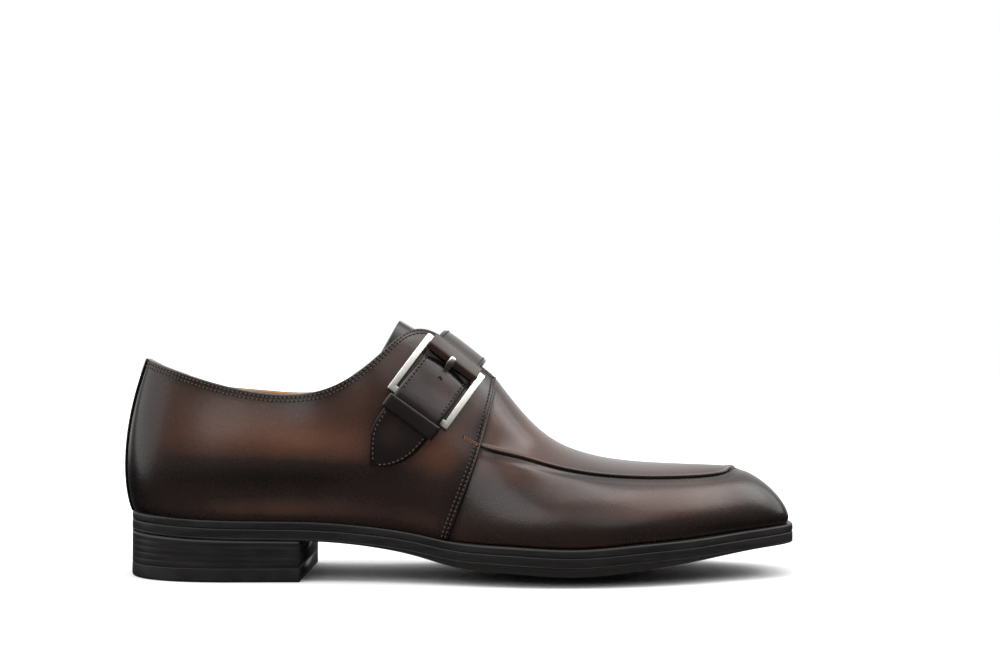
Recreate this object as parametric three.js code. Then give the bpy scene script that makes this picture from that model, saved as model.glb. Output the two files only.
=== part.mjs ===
// A right foot's monk strap shoe in millimetres, +X to the toe, +Y to the inner side, +Z up.
// It is drawn with the back of the sole at x = 0 and the floor at z = 0, and at the end it is moved so that the
// origin is the middle of its footprint on the floor.
import * as THREE from 'three';
import { mergeVertices } from 'three/addons/utils/BufferGeometryUtils.js';

// Lengths that the maker starts from.
const SOLE_LENGTH = 301.5;
const BALL_WIDTH = 105;
const BACK_HEIGHT = 97;
const COLLAR_HEIGHT = 83;
const INSTEP_HEIGHT = 112.5;
const THROAT_HEIGHT = 88;
const VAMP_HEIGHT = 50;
const SEAT_HEIGHT = 29;
const BALL_SEAT_HEIGHT = 16.4;
const TOE_SEAT_HEIGHT = 23.6;

// Leather thicknesses and edges.
const UPPER_WALL = 1.9;
const QUARTER_STEP = 1.1;
const SEAM_RAISE = 0.9;
const SEAM_SINK = 0.36;
const SEAM_HALF = 1.3;
const OUTSOLE_THICK = 4.6;
const WELT_THICK = 3.4;
const WELT_LEDGE = 4;
const INSOLE_RISE = 0.8;
const TONGUE_THICK = 1.6;
const TONGUE_PROUD = 13;
const TONGUE_NARROWS = 0.86;
const TONGUE_CROWN = 0.8;
const STRIP_THICK = 1;
const STRIP_WIDTH = 12;
const RIM_ROUND = 0.5;
const GAP = 0.3;
const LIE = 0.45;
const WELT_SEAT = UPPER_WALL + GAP;
const STRAP_LIE = 2 * GAP;

// Heel block.
const HEEL_LENGTH = 80.5;
const LIFT_THICK = 6;
const EDGE_BEVEL = 0.8;

// Strap, its keeper and the buckle.
const STRAP_WIDTH = 23.6;
const STRAP_THICK = 2.1;
const STRAP_DOWN_INNER = 38;
const BUCKLE_WIDTH = 32;
const BUCKLE_LENGTH = 28.5;
const BAR_WIDTH = 2.9;
const BAR_THICK = 2;
const WRAP_LENGTH = 6.2;
const WRAP_THICK = 0.8;
const KEEPER_LENGTH = 5.8;
const KEEPER_THICK = 1.3;
const PRONG_WIDTH = 3;
const PRONG_LENGTH = 5.2;
const BUCKLE_DOWN = 22.3;
const TIP_LENGTH = 22.2;
const TIP_LIFT = 1.4;

// One row for each section from the middle of the heel's back to the middle of the toe.
// at: its foot along the sole. outer, inner: half widths of the sole there. ledge: how far the welt stands out.
// seat: height of the upper's lower edge. edge: how much higher the sole's rim is than its crowned middle.
const L = SOLE_LENGTH;
const W = BALL_WIDTH;
const SOLE_ROWS = [
  { at: 0.0, outer: 0, inner: 0, ledge: 0.5, seat: SEAT_HEIGHT, edge: 0 },
  { at: 0.022, outer: 0.172, inner: 0.172, ledge: 0.5, seat: 0.995 * SEAT_HEIGHT, edge: 0 },
  { at: 0.095, outer: 0.294, inner: 0.294, ledge: 0.5, seat: 0.955 * SEAT_HEIGHT, edge: 0 },
  { at: 0.19, outer: 0.313, inner: 0.309, ledge: 0.5, seat: 0.925 * SEAT_HEIGHT, edge: 0 },
  { at: 0.29, outer: 0.311, inner: 0.288, ledge: 0.5, seat: 0.905 * SEAT_HEIGHT, edge: 1.5 },
  { at: 0.39, outer: 0.333, inner: 0.27, ledge: 0.55, seat: 0.82 * SEAT_HEIGHT, edge: 3.2 },
  { at: 0.44, outer: 0.362, inner: 0.284, ledge: 0.65, seat: 0.745 * SEAT_HEIGHT, edge: 4.6 },
  { at: 0.459, outer: 0.376, inner: 0.294, ledge: 0.72, seat: 0.705 * SEAT_HEIGHT, edge: 5.2 },
  { at: 0.48, outer: 0.394, inner: 0.312, ledge: 0.8, seat: 0.665 * SEAT_HEIGHT, edge: 5.9 },
  { at: 0.575, outer: 0.463, inner: 0.42, ledge: 1, seat: 1.06 * BALL_SEAT_HEIGHT, edge: 7.7 },
  { at: 0.665, outer: 0.482, inner: 0.503, ledge: 1, seat: BALL_SEAT_HEIGHT, edge: 8.6 },
  { at: 0.755, outer: 0.446, inner: 0.504, ledge: 1, seat: 1.1 * BALL_SEAT_HEIGHT, edge: 8.2 },
  { at: 0.84, outer: 0.366, inner: 0.432, ledge: 1, seat: 0.83 * TOE_SEAT_HEIGHT, edge: 5.6 },
  { at: 0.915, outer: 0.262, inner: 0.313, ledge: 0.9, seat: 0.915 * TOE_SEAT_HEIGHT, edge: 3 },
  { at: 0.968, outer: 0.186, inner: 0.224, ledge: 0.75, seat: 0.97 * TOE_SEAT_HEIGHT, edge: 1.2 },
  { at: 0.994, outer: 0.118, inner: 0.156, ledge: 0.65, seat: 0.995 * TOE_SEAT_HEIGHT, edge: 0.6 },
  { at: 1.0, outer: -0.018, inner: 0.018, ledge: 0.65, seat: TOE_SEAT_HEIGHT, edge: 0 },
];
const CORNER_ROW = 8;
const BREAST_AT = HEEL_LENGTH / SOLE_LENGTH;

// Side of the upper above each of those sections, in millimetres of its own swell:
// flare, belly: how far the wall stands out low down and half way up. low, mid: how high those two lie.
// sweep: how soon the section has come forward to its top. turn: whether its top faces as its foot does or sideways.
// seam: where the apron's seam crosses it.
const BELLY = 10;
const WALL_ROWS = [
  { flare: 0.3, belly: 0.75, low: 0.08, mid: 0.4, sweep: 0.12, turn: 1, seam: 0.5 },
  { flare: 0.3, belly: 0.72, low: 0.08, mid: 0.4, sweep: 0.12, turn: 1, seam: 0.5 },
  { flare: 0.3, belly: 0.66, low: 0.09, mid: 0.4, sweep: 0.12, turn: 1, seam: 0.5 },
  { flare: 0.3, belly: 0.62, low: 0.1, mid: 0.42, sweep: 0.15, turn: 0.6, seam: 0.5 },
  { flare: 0.22, belly: 0.62, low: 0.1, mid: 0.44, sweep: 0.25, turn: 0.2, seam: 0.5 },
  { flare: 0.2, belly: 0.6, low: 0.1, mid: 0.5, sweep: 0.45, turn: 0, seam: 0.5 },
  { flare: 0.22, belly: 0.5, low: 0.1, mid: 0.53, sweep: 0.62, turn: 0, seam: 0.5 },
  { flare: 0.26, belly: 0.4, low: 0.1, mid: 0.54, sweep: 0.75, turn: 0, seam: 0.51 },
  { flare: 0.3, belly: 0.3, low: 0.1, mid: 0.55, sweep: 0.85, turn: 0, seam: 0.519 },
  { flare: 0.42, belly: 0.12, low: 0.12, mid: 0.6, sweep: 0.6, turn: 0, seam: 0.607 },
  { flare: 0.5, belly: 0.15, low: 0.14, mid: 0.66, sweep: 0.3, turn: 0.2, seam: 0.644 },
  { flare: 0.48, belly: 0.22, low: 0.16, mid: 0.68, sweep: 0.12, turn: 0.5, seam: 0.673 },
  { flare: 0.42, belly: 0.2, low: 0.16, mid: 0.66, sweep: 0.12, turn: 0.8, seam: 0.69 },
  { flare: 0.36, belly: 0.12, low: 0.16, mid: 0.62, sweep: 0.12, turn: 1, seam: 0.72 },
  { flare: 0.34, belly: 0.08, low: 0.16, mid: 0.58, sweep: 0.12, turn: 1, seam: 0.789 },
  { flare: 0.36, belly: 0.06, low: 0.15, mid: 0.56, sweep: 0.12, turn: 1, seam: 0.86 },
  { flare: 0.38, belly: 0.06, low: 0.14, mid: 0.56, sweep: 0.12, turn: 1, seam: 0.868 },
];

// Top edge of each section. The open rows end on the topline and along the throat; the vamp rows meet at the ridge.
// at: along the sole. outer, inner: half widths. top: height. reach, drop: how the wall leans into its top edge.
const OPEN_ROWS = [
  { at: 0.0255, outer: 0, inner: 0, top: BACK_HEIGHT, reach: 6, drop: 17 },
  { at: 0.037, outer: 0.085, inner: 0.078, top: 0.987 * BACK_HEIGHT, reach: 5, drop: 16 },
  { at: 0.1, outer: 0.192, inner: 0.188, top: 0.923 * BACK_HEIGHT, reach: 3, drop: 15 },
  { at: 0.191, outer: 0.25, inner: 0.254, top: 0.997 * COLLAR_HEIGHT, reach: 2.5, drop: 14 },
  { at: 0.2905, outer: 0.266, inner: 0.262, top: 0.997 * COLLAR_HEIGHT, reach: 3, drop: 13 },
  { at: 0.3865, outer: 0.252, inner: 0.245, top: 0.895 * INSTEP_HEIGHT, reach: 6, drop: 14 },
  { at: 0.45, outer: 0.12, inner: 0.12, top: 0.975 * INSTEP_HEIGHT, reach: 13, drop: 7 },
  { at: 0.4875, outer: 0.088, inner: 0.088, top: 0.915 * INSTEP_HEIGHT, reach: 14, drop: 5 },
  { at: 0.5445, outer: 0.075, inner: 0.075, top: 1.013 * THROAT_HEIGHT, reach: 14, drop: 4 },
];
const VAMP_ROWS = [
  { at: 0.5535, top: THROAT_HEIGHT, reach: 24 },
  { at: 0.612, top: 0.763 * THROAT_HEIGHT, reach: 26 },
  { at: 0.672, top: 1.13 * VAMP_HEIGHT, reach: 28 },
  { at: 0.745, top: 1.025 * VAMP_HEIGHT, reach: 28 },
  { at: 0.8, top: 0.995 * VAMP_HEIGHT, reach: 25 },
  { at: 0.845, top: 0.985 * VAMP_HEIGHT, reach: 21 },
  { at: 0.873, top: 0.98 * VAMP_HEIGHT, reach: 18 },
  { at: 0.887, top: 0.976 * VAMP_HEIGHT, reach: 16 },
  { at: 0.892, top: 0.975 * VAMP_HEIGHT, reach: 15.5 },
];

const UP = new THREE.Vector3(0, 0, 1);
const OUTER = -1;
const INNER = 1;

// A natural cubic curve through the values at the knots.
function curveThrough(knots, values) {
  const n = knots.length;
  const bend = new Array(n).fill(0);
  const pivot = new Array(n).fill(0);
  for (let i = 1; i < n - 1; i++) {
    const before = knots[i] - knots[i - 1];
    const after = knots[i + 1] - knots[i];
    const turn = (values[i + 1] - values[i]) / after - (values[i] - values[i - 1]) / before;
    const weight = 2 * (before + after) - before * pivot[i - 1];
    pivot[i] = after / weight;
    bend[i] = (6 * turn - before * bend[i - 1]) / weight;
  }
  for (let i = n - 2; i > 0; i--) bend[i] -= pivot[i] * bend[i + 1];
  return (x) => {
    let i = 0;
    while (i < n - 2 && x > knots[i + 1]) i++;
    const h = knots[i + 1] - knots[i];
    const a = (knots[i + 1] - x) / h;
    const b = 1 - a;
    const swell = ((a ** 3 - a) * bend[i] + (b ** 3 - b) * bend[i + 1]) * (h * h) / 6;
    return a * values[i] + b * values[i + 1] + swell;
  };
}

// The same, for what runs on past the middle of the heel or of the toe as its own mirror image.
function mirroredCurve(knots, values, sign, atStart, atEnd) {
  const last = knots.length - 1;
  const ks = [...knots];
  const vs = [...values];
  for (let i = 1; i <= 3; i++) {
    if (atStart) {
      ks.unshift(2 * knots[0] - knots[i]);
      vs.unshift(sign * values[i]);
    }
    if (atEnd) {
      ks.push(2 * knots[last] - knots[last - i]);
      vs.push(sign * values[last - i]);
    }
  }
  return curveThrough(ks, vs);
}

// The sole's outline as one loop: outer side from heel to toe, then back along the inner side.
const lastRow = SOLE_ROWS.length - 1;
const outerPoints = SOLE_ROWS.map((r) => [r.at * L, -r.outer * W]);
const innerPoints = SOLE_ROWS.map((r) => [r.at * L, r.inner * W]);
function chords(points) {
  const sums = [0];
  for (let i = 1; i < points.length; i++) {
    const step = Math.hypot(points[i][0] - points[i - 1][0], points[i][1] - points[i - 1][1]);
    sums.push(sums[i - 1] + step);
  }
  return sums;
}
const outerKnots = chords(outerPoints);
const innerKnots = chords(innerPoints);
const halfLoop = outerKnots[lastRow];
const wholeLoop = halfLoop + innerKnots[lastRow];
const loopKnots = [];
const loopPoints = [];
for (let i = 0; i < lastRow; i++) {
  loopKnots.push(outerKnots[i]);
  loopPoints.push(outerPoints[i]);
}
for (let i = lastRow; i > 0; i--) {
  loopKnots.push(wholeLoop - innerKnots[i]);
  loopPoints.push(innerPoints[i]);
}
const wrapped = [-1, 0, 1].flatMap((turn) => loopKnots.map((k, i) => [k + turn * wholeLoop, loopPoints[i]]));
const loopX = curveThrough(wrapped.map((w) => w[0]), wrapped.map((w) => w[1][0]));
const loopY = curveThrough(wrapped.map((w) => w[0]), wrapped.map((w) => w[1][1]));

// A place along the shoe is the outline's length from the heel's middle on the outer side.
const innerPlace = mirroredCurve(outerKnots, innerKnots, -1, true, false);
function loopPlace(side, q) {
  return side === OUTER ? q : wholeLoop - innerPlace(q);
}
function outline(side, q) {
  const k = loopPlace(side, q);
  const step = 0.5;
  const ahead = [loopX(k + step) - loopX(k - step), loopY(k + step) - loopY(k - step)];
  const length = Math.hypot(...ahead);
  const out = new THREE.Vector3(ahead[1] / length, -ahead[0] / length, 0);
  return { x: loopX(k), y: loopY(k), out };
}
const column = (name, sign = 1) => mirroredCurve(outerKnots, SOLE_ROWS.map((r) => r[name]), sign, true, true);
const wallColumn = (name) => mirroredCurve(outerKnots, WALL_ROWS.map((r) => r[name]), 1, true, true);
const ledgeAt = column('ledge');
const seatAt = column('seat');
const edgeAt = column('edge');
const flareAt = wallColumn('flare');
const bellyAt = wallColumn('belly');
const lowAt = wallColumn('low');
const midAt = wallColumn('mid');
const sweepAt = wallColumn('sweep');
const turnAt = wallColumn('turn');
const seamAt = wallColumn('seam');

const openKnots = outerKnots.slice(0, CORNER_ROW + 1);
const vampKnots = outerKnots.slice(CORNER_ROW);
const openColumn = (name, sign = 1) => mirroredCurve(openKnots, OPEN_ROWS.map((r) => r[name]), sign, true, false);
const vampColumn = (name) => mirroredCurve(vampKnots, VAMP_ROWS.map((r) => r[name]), 1, false, true);
const open = {
  at: openColumn('at'),
  top: openColumn('top'),
  outer: openColumn('outer', -1),
  inner: openColumn('inner', -1),
  reach: openColumn('reach'),
  drop: openColumn('drop'),
};
const vamp = { at: vampColumn('at'), top: vampColumn('top'), reach: vampColumn('reach') };
const throatPlace = outerKnots[CORNER_ROW];

// Lower edge of the upper, where it meets the welt.
function feather(side, q, inset = 0) {
  const rim = outline(side, q);
  const back = ledgeAt(q) * WELT_LEDGE + inset;
  return new THREE.Vector3(rim.x - rim.out.x * back, rim.y - rim.out.y * back, seatAt(q));
}

// A point part of the way from one to another, with its own share of each direction.
function between(from, to, x, y, z) {
  const { lerp } = THREE.MathUtils;
  return new THREE.Vector3(lerp(from.x, to.x, x), lerp(from.y, to.y, y), lerp(from.z, to.z, z));
}

// One section of the upper's outside as five control points from the welt to the top edge.
const LEAN = 0.12;
const LOW_SWEEP = 0.15;
function section(side, q, isOpen) {
  const foot = feather(side, q);
  const out = outline(side, q).out;
  const top = isOpen
    ? new THREE.Vector3(open.at(q) * L, side * (side === OUTER ? open.outer(q) : open.inner(q)) * W, open.top(q))
    : new THREE.Vector3(vamp.at(q) * L, 0, vamp.top(q));
  const swing = new THREE.Vector3(out.x * turnAt(q), out.y, 0).normalize();
  const reach = isOpen ? open.reach(q) : vamp.reach(q);
  const drop = isOpen ? open.drop(q) : 0;
  return [
    foot,
    between(foot, top, LOW_SWEEP * sweepAt(q), 0, lowAt(q)).addScaledVector(out, flareAt(q) * BELLY),
    between(foot, top, sweepAt(q), LEAN, midAt(q)).addScaledVector(out, bellyAt(q) * BELLY),
    top.clone().addScaledVector(swing, reach).addScaledVector(UP, -drop),
    top,
  ];
}
const WEIGHTS = [1, 4, 6, 4, 1];
function pointOn(controls, t) {
  const p = new THREE.Vector3();
  controls.forEach((c, i) => p.addScaledVector(c, WEIGHTS[i] * (1 - t) ** (4 - i) * t ** i));
  return p;
}
function skin(side, q, t, isOpen) {
  return pointOn(section(side, q, isOpen), t);
}

// A point of the skin and the direction out of it, which near the ridge is always upwards.
const RIDGE_NEAR = 0.9;
function skinFrame(side, q, t, isOpen) {
  const step = 0.4;
  const near = isOpen ? t : Math.min(t, 0.975);
  const least = isOpen ? -Infinity : throatPlace;
  const most = isOpen ? throatPlace : halfLoop;
  const a = skin(side, Math.max(q - step, least), near, isOpen);
  const b = skin(side, Math.min(q + step, most), near, isOpen);
  const c = skin(side, q, Math.max(near - 0.01, 0), isOpen);
  const d = skin(side, q, Math.min(near + 0.01, 1), isOpen);
  const out = b.sub(a).cross(d.sub(c)).normalize().multiplyScalar(side === OUTER ? 1 : -1);
  if (!isOpen && t === 1) out.setY(0).normalize();
  if (!isOpen && near > RIDGE_NEAR && out.z < 0) out.negate();
  return { p: skin(side, q, t, isOpen), out };
}

// A closed solid between two grids of points, [column][row]. A looped one joins its last column to its first.
function solidBetween(front, back, looped = false) {
  const columns = front.length;
  const rows = front[0].length;
  const points = [...front.flat(), ...back.flat()];
  const at = (c, r, far) => (far ? columns * rows : 0) + (c % columns) * rows + r;
  const faces = [];
  const quad = (a, b, c, d) => faces.push(a, b, c, a, c, d);
  const spans = looped ? columns : columns - 1;
  for (let c = 0; c < spans; c++) {
    for (let r = 0; r < rows - 1; r++) {
      quad(at(c, r, 0), at(c + 1, r, 0), at(c + 1, r + 1, 0), at(c, r + 1, 0));
      quad(at(c, r, 1), at(c, r + 1, 1), at(c + 1, r + 1, 1), at(c + 1, r, 1));
    }
    quad(at(c, 0, 0), at(c, 0, 1), at(c + 1, 0, 1), at(c + 1, 0, 0));
    quad(at(c, rows - 1, 0), at(c + 1, rows - 1, 0), at(c + 1, rows - 1, 1), at(c, rows - 1, 1));
  }
  if (!looped) {
    const end = columns - 1;
    for (let r = 0; r < rows - 1; r++) {
      quad(at(0, r, 0), at(0, r + 1, 0), at(0, r + 1, 1), at(0, r, 1));
      quad(at(end, r, 0), at(end, r, 1), at(end, r + 1, 1), at(end, r + 1, 0));
    }
  }
  return closedGeometry(points, faces);
}

// Merges equal points, drops faces that close up or lie back to back, and turns the solid the right way out.
function closedGeometry(points, faces) {
  const geometry = new THREE.BufferGeometry();
  geometry.setAttribute('position', new THREE.Float32BufferAttribute(points.flatMap((p) => [p.x, p.y, p.z]), 3));
  geometry.setIndex(faces);
  const merged = mergeVertices(geometry, 1e-3);
  const index = merged.index.array;
  const position = merged.attributes.position;
  const single = new Map();
  for (let i = 0; i < index.length; i += 3) {
    const face = [...index.slice(i, i + 3)];
    if (new Set(face).size < 3) continue;
    const key = [...face].sort((a, b) => a - b).join();
    if (single.has(key)) single.delete(key);
    else single.set(key, face);
  }
  const kept = [...single.values()].flat();
  const corner = [new THREE.Vector3(), new THREE.Vector3(), new THREE.Vector3()];
  let volume = 0;
  for (const face of single.values()) {
    corner.forEach((v, k) => v.fromBufferAttribute(position, face[k]));
    volume += corner[0].dot(corner[1].clone().cross(corner[2]));
  }
  if (volume < 0) {
    for (let i = 0; i < kept.length; i += 3) [kept[i + 1], kept[i + 2]] = [kept[i + 2], kept[i + 1]];
  }
  merged.setIndex(kept);
  return merged;
}

// Even steps between the ends of each span of the section rows.
function places(from, to, steps) {
  return Array.from({ length: steps + 1 }, (_, i) => from + ((to - from) * i) / steps);
}
function placesOverRows(firstRow, lastOne, steps) {
  const list = [outerKnots[firstRow]];
  for (let i = firstRow; i < lastOne; i++) list.push(...places(outerKnots[i], outerKnots[i + 1], steps[i]).slice(1));
  return list;
}

// The upper.
const STEPS = [3, 3, 2, 2, 2, 3, 2, 2, 3, 3, 3, 3, 3, 3, 3, 2];
const ROWS_BELOW = 6;
const ROWS_ABOVE = 5;
function rowPlaces(q) {
  const seam = seamAt(q);
  const controls = section(OUTER, q, q < throatPlace);
  const height = controls[4].distanceTo(controls[0]);
  const half = SEAM_HALF / height;
  const below = places(0, seam - 2 * half, ROWS_BELOW);
  const above = places(seam + half, 1, ROWS_ABOVE);
  return { list: [...below, seam - half, seam, ...above], trough: ROWS_BELOW + 1, ridge: ROWS_BELOW + 2 };
}
function upperColumn(side, q, isOpen, step) {
  const rows = rowPlaces(q);
  const outside = [];
  const inside = [];
  rows.list.forEach((t, r) => {
    const { p, out } = skinFrame(side, q, t, isOpen);
    let raise = step;
    if (!isOpen && r === rows.ridge) raise = SEAM_RAISE;
    if (!isOpen && r === rows.trough) raise = -SEAM_SINK;
    outside.push(p.clone().addScaledVector(out, raise));
    inside.push(p.clone().addScaledVector(out, -UPPER_WALL));
  });
  outside[0].z = seatAt(q);
  inside[0].z = seatAt(q);
  return { outside, inside };
}
function makeUpper() {
  const openPlaces = placesOverRows(0, CORNER_ROW, STEPS);
  const vampPlaces = placesOverRows(CORNER_ROW, lastRow, STEPS);
  vampPlaces[0] += 1;
  const sideColumns = (side) => [
    ...openPlaces.map((q) => upperColumn(side, q, true, QUARTER_STEP)),
    ...vampPlaces.map((q) => upperColumn(side, q, false, 0)),
  ];
  const outer = sideColumns(OUTER);
  const inner = sideColumns(INNER);
  const openCount = openPlaces.length;
  for (let c = openCount; c < outer.length; c++) {
    const top = outer[c].outside.length - 1;
    inner[c].outside[top] = outer[c].outside[top];
    inner[c].inside[top] = outer[c].inside[top];
  }
  const loop = [...outer, ...inner.slice(1, -1).reverse()];
  const count = loop.length;
  const rows = loop[0].outside.length;
  const points = [...loop.flatMap((c) => c.outside), ...loop.flatMap((c) => c.inside)];
  const at = (c, r, far) => (far ? count * rows : 0) + (c % count) * rows + r;
  const isJoined = (c) => c >= openCount && c <= count - openCount;
  const faces = [];
  const quad = (a, b, c, d) => faces.push(a, b, c, a, c, d);
  for (let c = 0; c < count; c++) {
    for (let r = 0; r < rows - 1; r++) {
      quad(at(c, r, 0), at(c + 1, r, 0), at(c + 1, r + 1, 0), at(c, r + 1, 0));
      quad(at(c, r, 1), at(c, r + 1, 1), at(c + 1, r + 1, 1), at(c + 1, r, 1));
    }
    quad(at(c, 0, 0), at(c, 0, 1), at(c + 1, 0, 1), at(c + 1, 0, 0));
    const closedHere = isJoined(c) && isJoined((c + 1) % count);
    if (!closedHere) {
      quad(at(c, rows - 1, 0), at(c + 1, rows - 1, 0), at(c + 1, rows - 1, 1), at(c, rows - 1, 1));
    }
  }
  return closedGeometry(points, faces);
}

// Height of the sole's layers: v runs from -1 at the outer rim to 1 at the inner one.
const CROWN_POWER = 2.4;
const TIP_NEAR = 1e-3;
function crown(q, v) {
  return -edgeAt(q) * (1 - Math.abs(v) ** CROWN_POWER);
}
function weltTop(q) {
  return seatAt(q) - LIE;
}
function outsoleTop(q, v) {
  return weltTop(q) - WELT_THICK + crown(q, v);
}
function outsoleBottom(q, v) {
  return Math.max(0, outsoleTop(q, v) - GAP - OUTSOLE_THICK);
}

// A point of the plan between the outer and inner outline, both drawn in by an inset.
function planPoint(q, v, inset, z) {
  const isTip = q < TIP_NEAR || q > halfLoop - TIP_NEAR;
  const rims = [OUTER, isTip ? OUTER : INNER].map((side) => {
    const rim = outline(side, q);
    return new THREE.Vector3(rim.x - rim.out.x * inset, rim.y - rim.out.y * inset, 0);
  });
  return rims[0].lerp(rims[1], (v + 1) / 2).setZ(z);
}
const ACROSS = [-1, -0.78, -0.48, -0.16, 0.16, 0.48, 0.78, 1];
function layer(placeList, inset, zTop, zBottom, bevel) {
  const top = placeList.map((q) => ACROSS.map((v) => planPoint(q, v, inset, zTop(q, v))));
  const bottom = placeList.map((q) => {
    const rim = (v) => planPoint(q, v, inset, Math.min(zBottom(q, v) + bevel, zTop(q, v) - bevel));
    const under = ACROSS.map((v) => planPoint(q, v, inset + bevel, zBottom(q, v)));
    return [rim(-1), ...under, rim(1)];
  });
  const topWide = top.map((r) => [r[0], ...r, r[r.length - 1]]);
  return solidBetween(topWide, bottom);
}
function solePlaces() {
  return placesOverRows(0, lastRow, STEPS);
}
function makeOutsole() {
  return layer(solePlaces(), 0, (q, v) => outsoleTop(q, v), outsoleBottom, EDGE_BEVEL);
}

// Place along the outline where the heel's breast crosses.
function breastPlace() {
  let low = 0;
  let high = halfLoop;
  for (let i = 0; i < 40; i++) {
    const middle = (low + high) / 2;
    if (outline(OUTER, middle).x < BREAST_AT * L) low = middle;
    else high = middle;
  }
  return low;
}
function heelPlaces() {
  const end = breastPlace();
  return [...outerKnots.filter((k) => k < end * 0.35).flatMap((k, i, all) => {
    const next = i + 1 < all.length ? all[i + 1] : end * 0.35;
    return places(k, next, 3).slice(0, -1);
  }), ...places(end * 0.35, end, 5)];
}
function makeHeelStack() {
  return layer(heelPlaces(), 0.3, (q, v) => outsoleBottom(q, v) - GAP, () => LIFT_THICK, 0.3);
}
function makeTopLift() {
  return layer(heelPlaces(), 0, () => LIFT_THICK - GAP, () => 0, 0.5);
}
function makeWelt() {
  const q = solePlaces();
  const ring = [...q.map((k) => [OUTER, k]), ...q.slice(1, -1).reverse().map((k) => [INNER, k])];
  const across = [0, 0.12, 1];
  const build = (z) => ring.map(([side, k]) => across.map((share) => {
    const rim = outline(side, k);
    const inset = share * (ledgeAt(k) * WELT_LEDGE + WELT_SEAT);
    const v = 1 - (2 * inset) / Math.max(30, Math.abs(outline(INNER, k).y - outline(OUTER, k).y));
    return new THREE.Vector3(rim.x - rim.out.x * inset, rim.y - rim.out.y * inset, z(k, v, share));
  }));
  const roundOff = (share) => (share === 0 ? RIM_ROUND : 0);
  const top = build((k, v, share) => weltTop(k) - roundOff(share));
  const bottom = build((k, v) => outsoleTop(k, v) + GAP);
  return solidBetween(top, bottom, true);
}
function makeInsole() {
  const inset = (q) => ledgeAt(q) * WELT_LEDGE + WELT_SEAT + GAP;
  const build = (z) => solePlaces().map((q) => ACROSS.map((v) => planPoint(q, v, inset(q), z(q, v))));
  const top = build((q, v) => seatAt(q) + INSOLE_RISE + crown(q, v));
  const bottom = build((q, v) => outsoleTop(q, v) + GAP);
  return solidBetween(top, bottom);
}

// The skin carried over the open throat, for what lies on it or under it.
function bridgedSkin(q, across) {
  const ends = [OUTER, INNER].map((side) => skinFrame(side, q, 1, true));
  const p = ends[0].p.clone().lerp(ends[1].p, across);
  const lift = TONGUE_CROWN * 4 * across * (1 - across);
  const out = ends[0].out.clone().lerp(ends[1].out, across).normalize();
  return { p: p.addScaledVector(out, lift), out };
}

// The tongue lies under both edges of the throat and stands a little proud of them at the top.
function makeTongue() {
  const first = outerKnots[CORNER_ROW - 2];
  const list = places(first, throatPlace, 8);
  const side = [0.68, 0.76, 0.84, 0.92, 0.985];
  const build = (depth) => list.map((q) => {
    const points = [
      ...side.map((t) => skinFrame(OUTER, q, t, true)),
      ...[0.25, 0.5, 0.75].map((a) => bridgedSkin(q, a)),
      ...[...side].reverse().map((t) => skinFrame(INNER, q, t, true)),
    ];
    return points.map((f) => f.p.clone().addScaledVector(f.out, -depth));
  });
  const depth = UPPER_WALL + 2 * LIE;
  const front = build(depth);
  const back = build(depth + TONGUE_THICK);
  const crest = side.length + 1;
  const ahead = front[0][crest].clone().sub(front[2][crest]).setY(0).normalize();
  const end = front[0][crest].dot(ahead) + TONGUE_PROUD;
  for (const grid of [front, back]) {
    grid.unshift(grid[0].map((p) => {
      const edge = p.clone().addScaledVector(ahead, end - p.dot(ahead));
      return edge.setY(edge.y * TONGUE_NARROWS);
    }));
  }
  return solidBetween(front, back);
}

// The strip up the middle of the heel's back.
function makeHeelStrip() {
  const half = STRIP_WIDTH / 2;
  const across = [-1, -0.5, 0, 0.5, 1];
  const up = places(0.04, 1, 12);
  const build = (height) => up.map((t) => across.map((share) => {
    const f = skinFrame(share < 0 ? OUTER : INNER, Math.abs(share) * half * (0.72 + 0.28 * t), t, true);
    return f.p.clone().addScaledVector(f.out, height);
  }));
  return solidBetween(build(QUARTER_STEP + GAP + STRIP_THICK), build(QUARTER_STEP + GAP));
}

// Strap coordinates: along, from the ridge down the outer side; across, towards the toe; up, away from the upper.
const STRAP_TILT = THREE.MathUtils.degToRad(54.2);
const STRAP_CREST = new THREE.Vector3(0.499 * L, 0, 0.9 * INSTEP_HEIGHT);
const HUB_DEPTH = 42;
const uphill = new THREE.Vector3(Math.cos(STRAP_TILT), 0, Math.sin(STRAP_TILT));
const toToe = new THREE.Vector3(Math.sin(STRAP_TILT), 0, -Math.cos(STRAP_TILT));
const hub = STRAP_CREST.clone().addScaledVector(uphill, -HUB_DEPTH);

// The shoe's outside with its throat and collar bridged, as a target for sight lines from the hub.
function makeForm() {
  const openPlaces = placesOverRows(3, CORNER_ROW, STEPS);
  const vampPlaces = placesOverRows(CORNER_ROW, CORNER_ROW + 3, STEPS);
  const t = places(0, 1, 24);
  const columnAt = (q, isOpen, step) => {
    const side = (s) => t.map((k) => {
      const f = skinFrame(s, q, k, isOpen);
      return f.p.addScaledVector(f.out, step);
    });
    const over = [0.2, 0.4, 0.6, 0.8].map((a) => {
      if (!isOpen) return skin(OUTER, q, 1, false);
      const f = bridgedSkin(q, a);
      return f.p.addScaledVector(f.out, step);
    });
    return [...side(OUTER), ...over, ...side(INNER).reverse()];
  };
  const grid = [
    ...openPlaces.map((q) => columnAt(q, true, QUARTER_STEP)),
    ...vampPlaces.slice(1).map((q) => columnAt(q, false, 0)),
  ];
  const points = grid.flat();
  const rows = grid[0].length;
  const faces = [];
  for (let c = 0; c < grid.length - 1; c++) {
    for (let r = 0; r < rows - 1; r++) {
      const a = c * rows + r;
      faces.push(a, a + rows, a + rows + 1, a, a + rows + 1, a + 1);
    }
  }
  const geometry = new THREE.BufferGeometry().setFromPoints(points);
  geometry.setIndex(faces);
  return new THREE.Mesh(geometry, new THREE.MeshBasicMaterial({ side: THREE.DoubleSide }));
}
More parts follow.
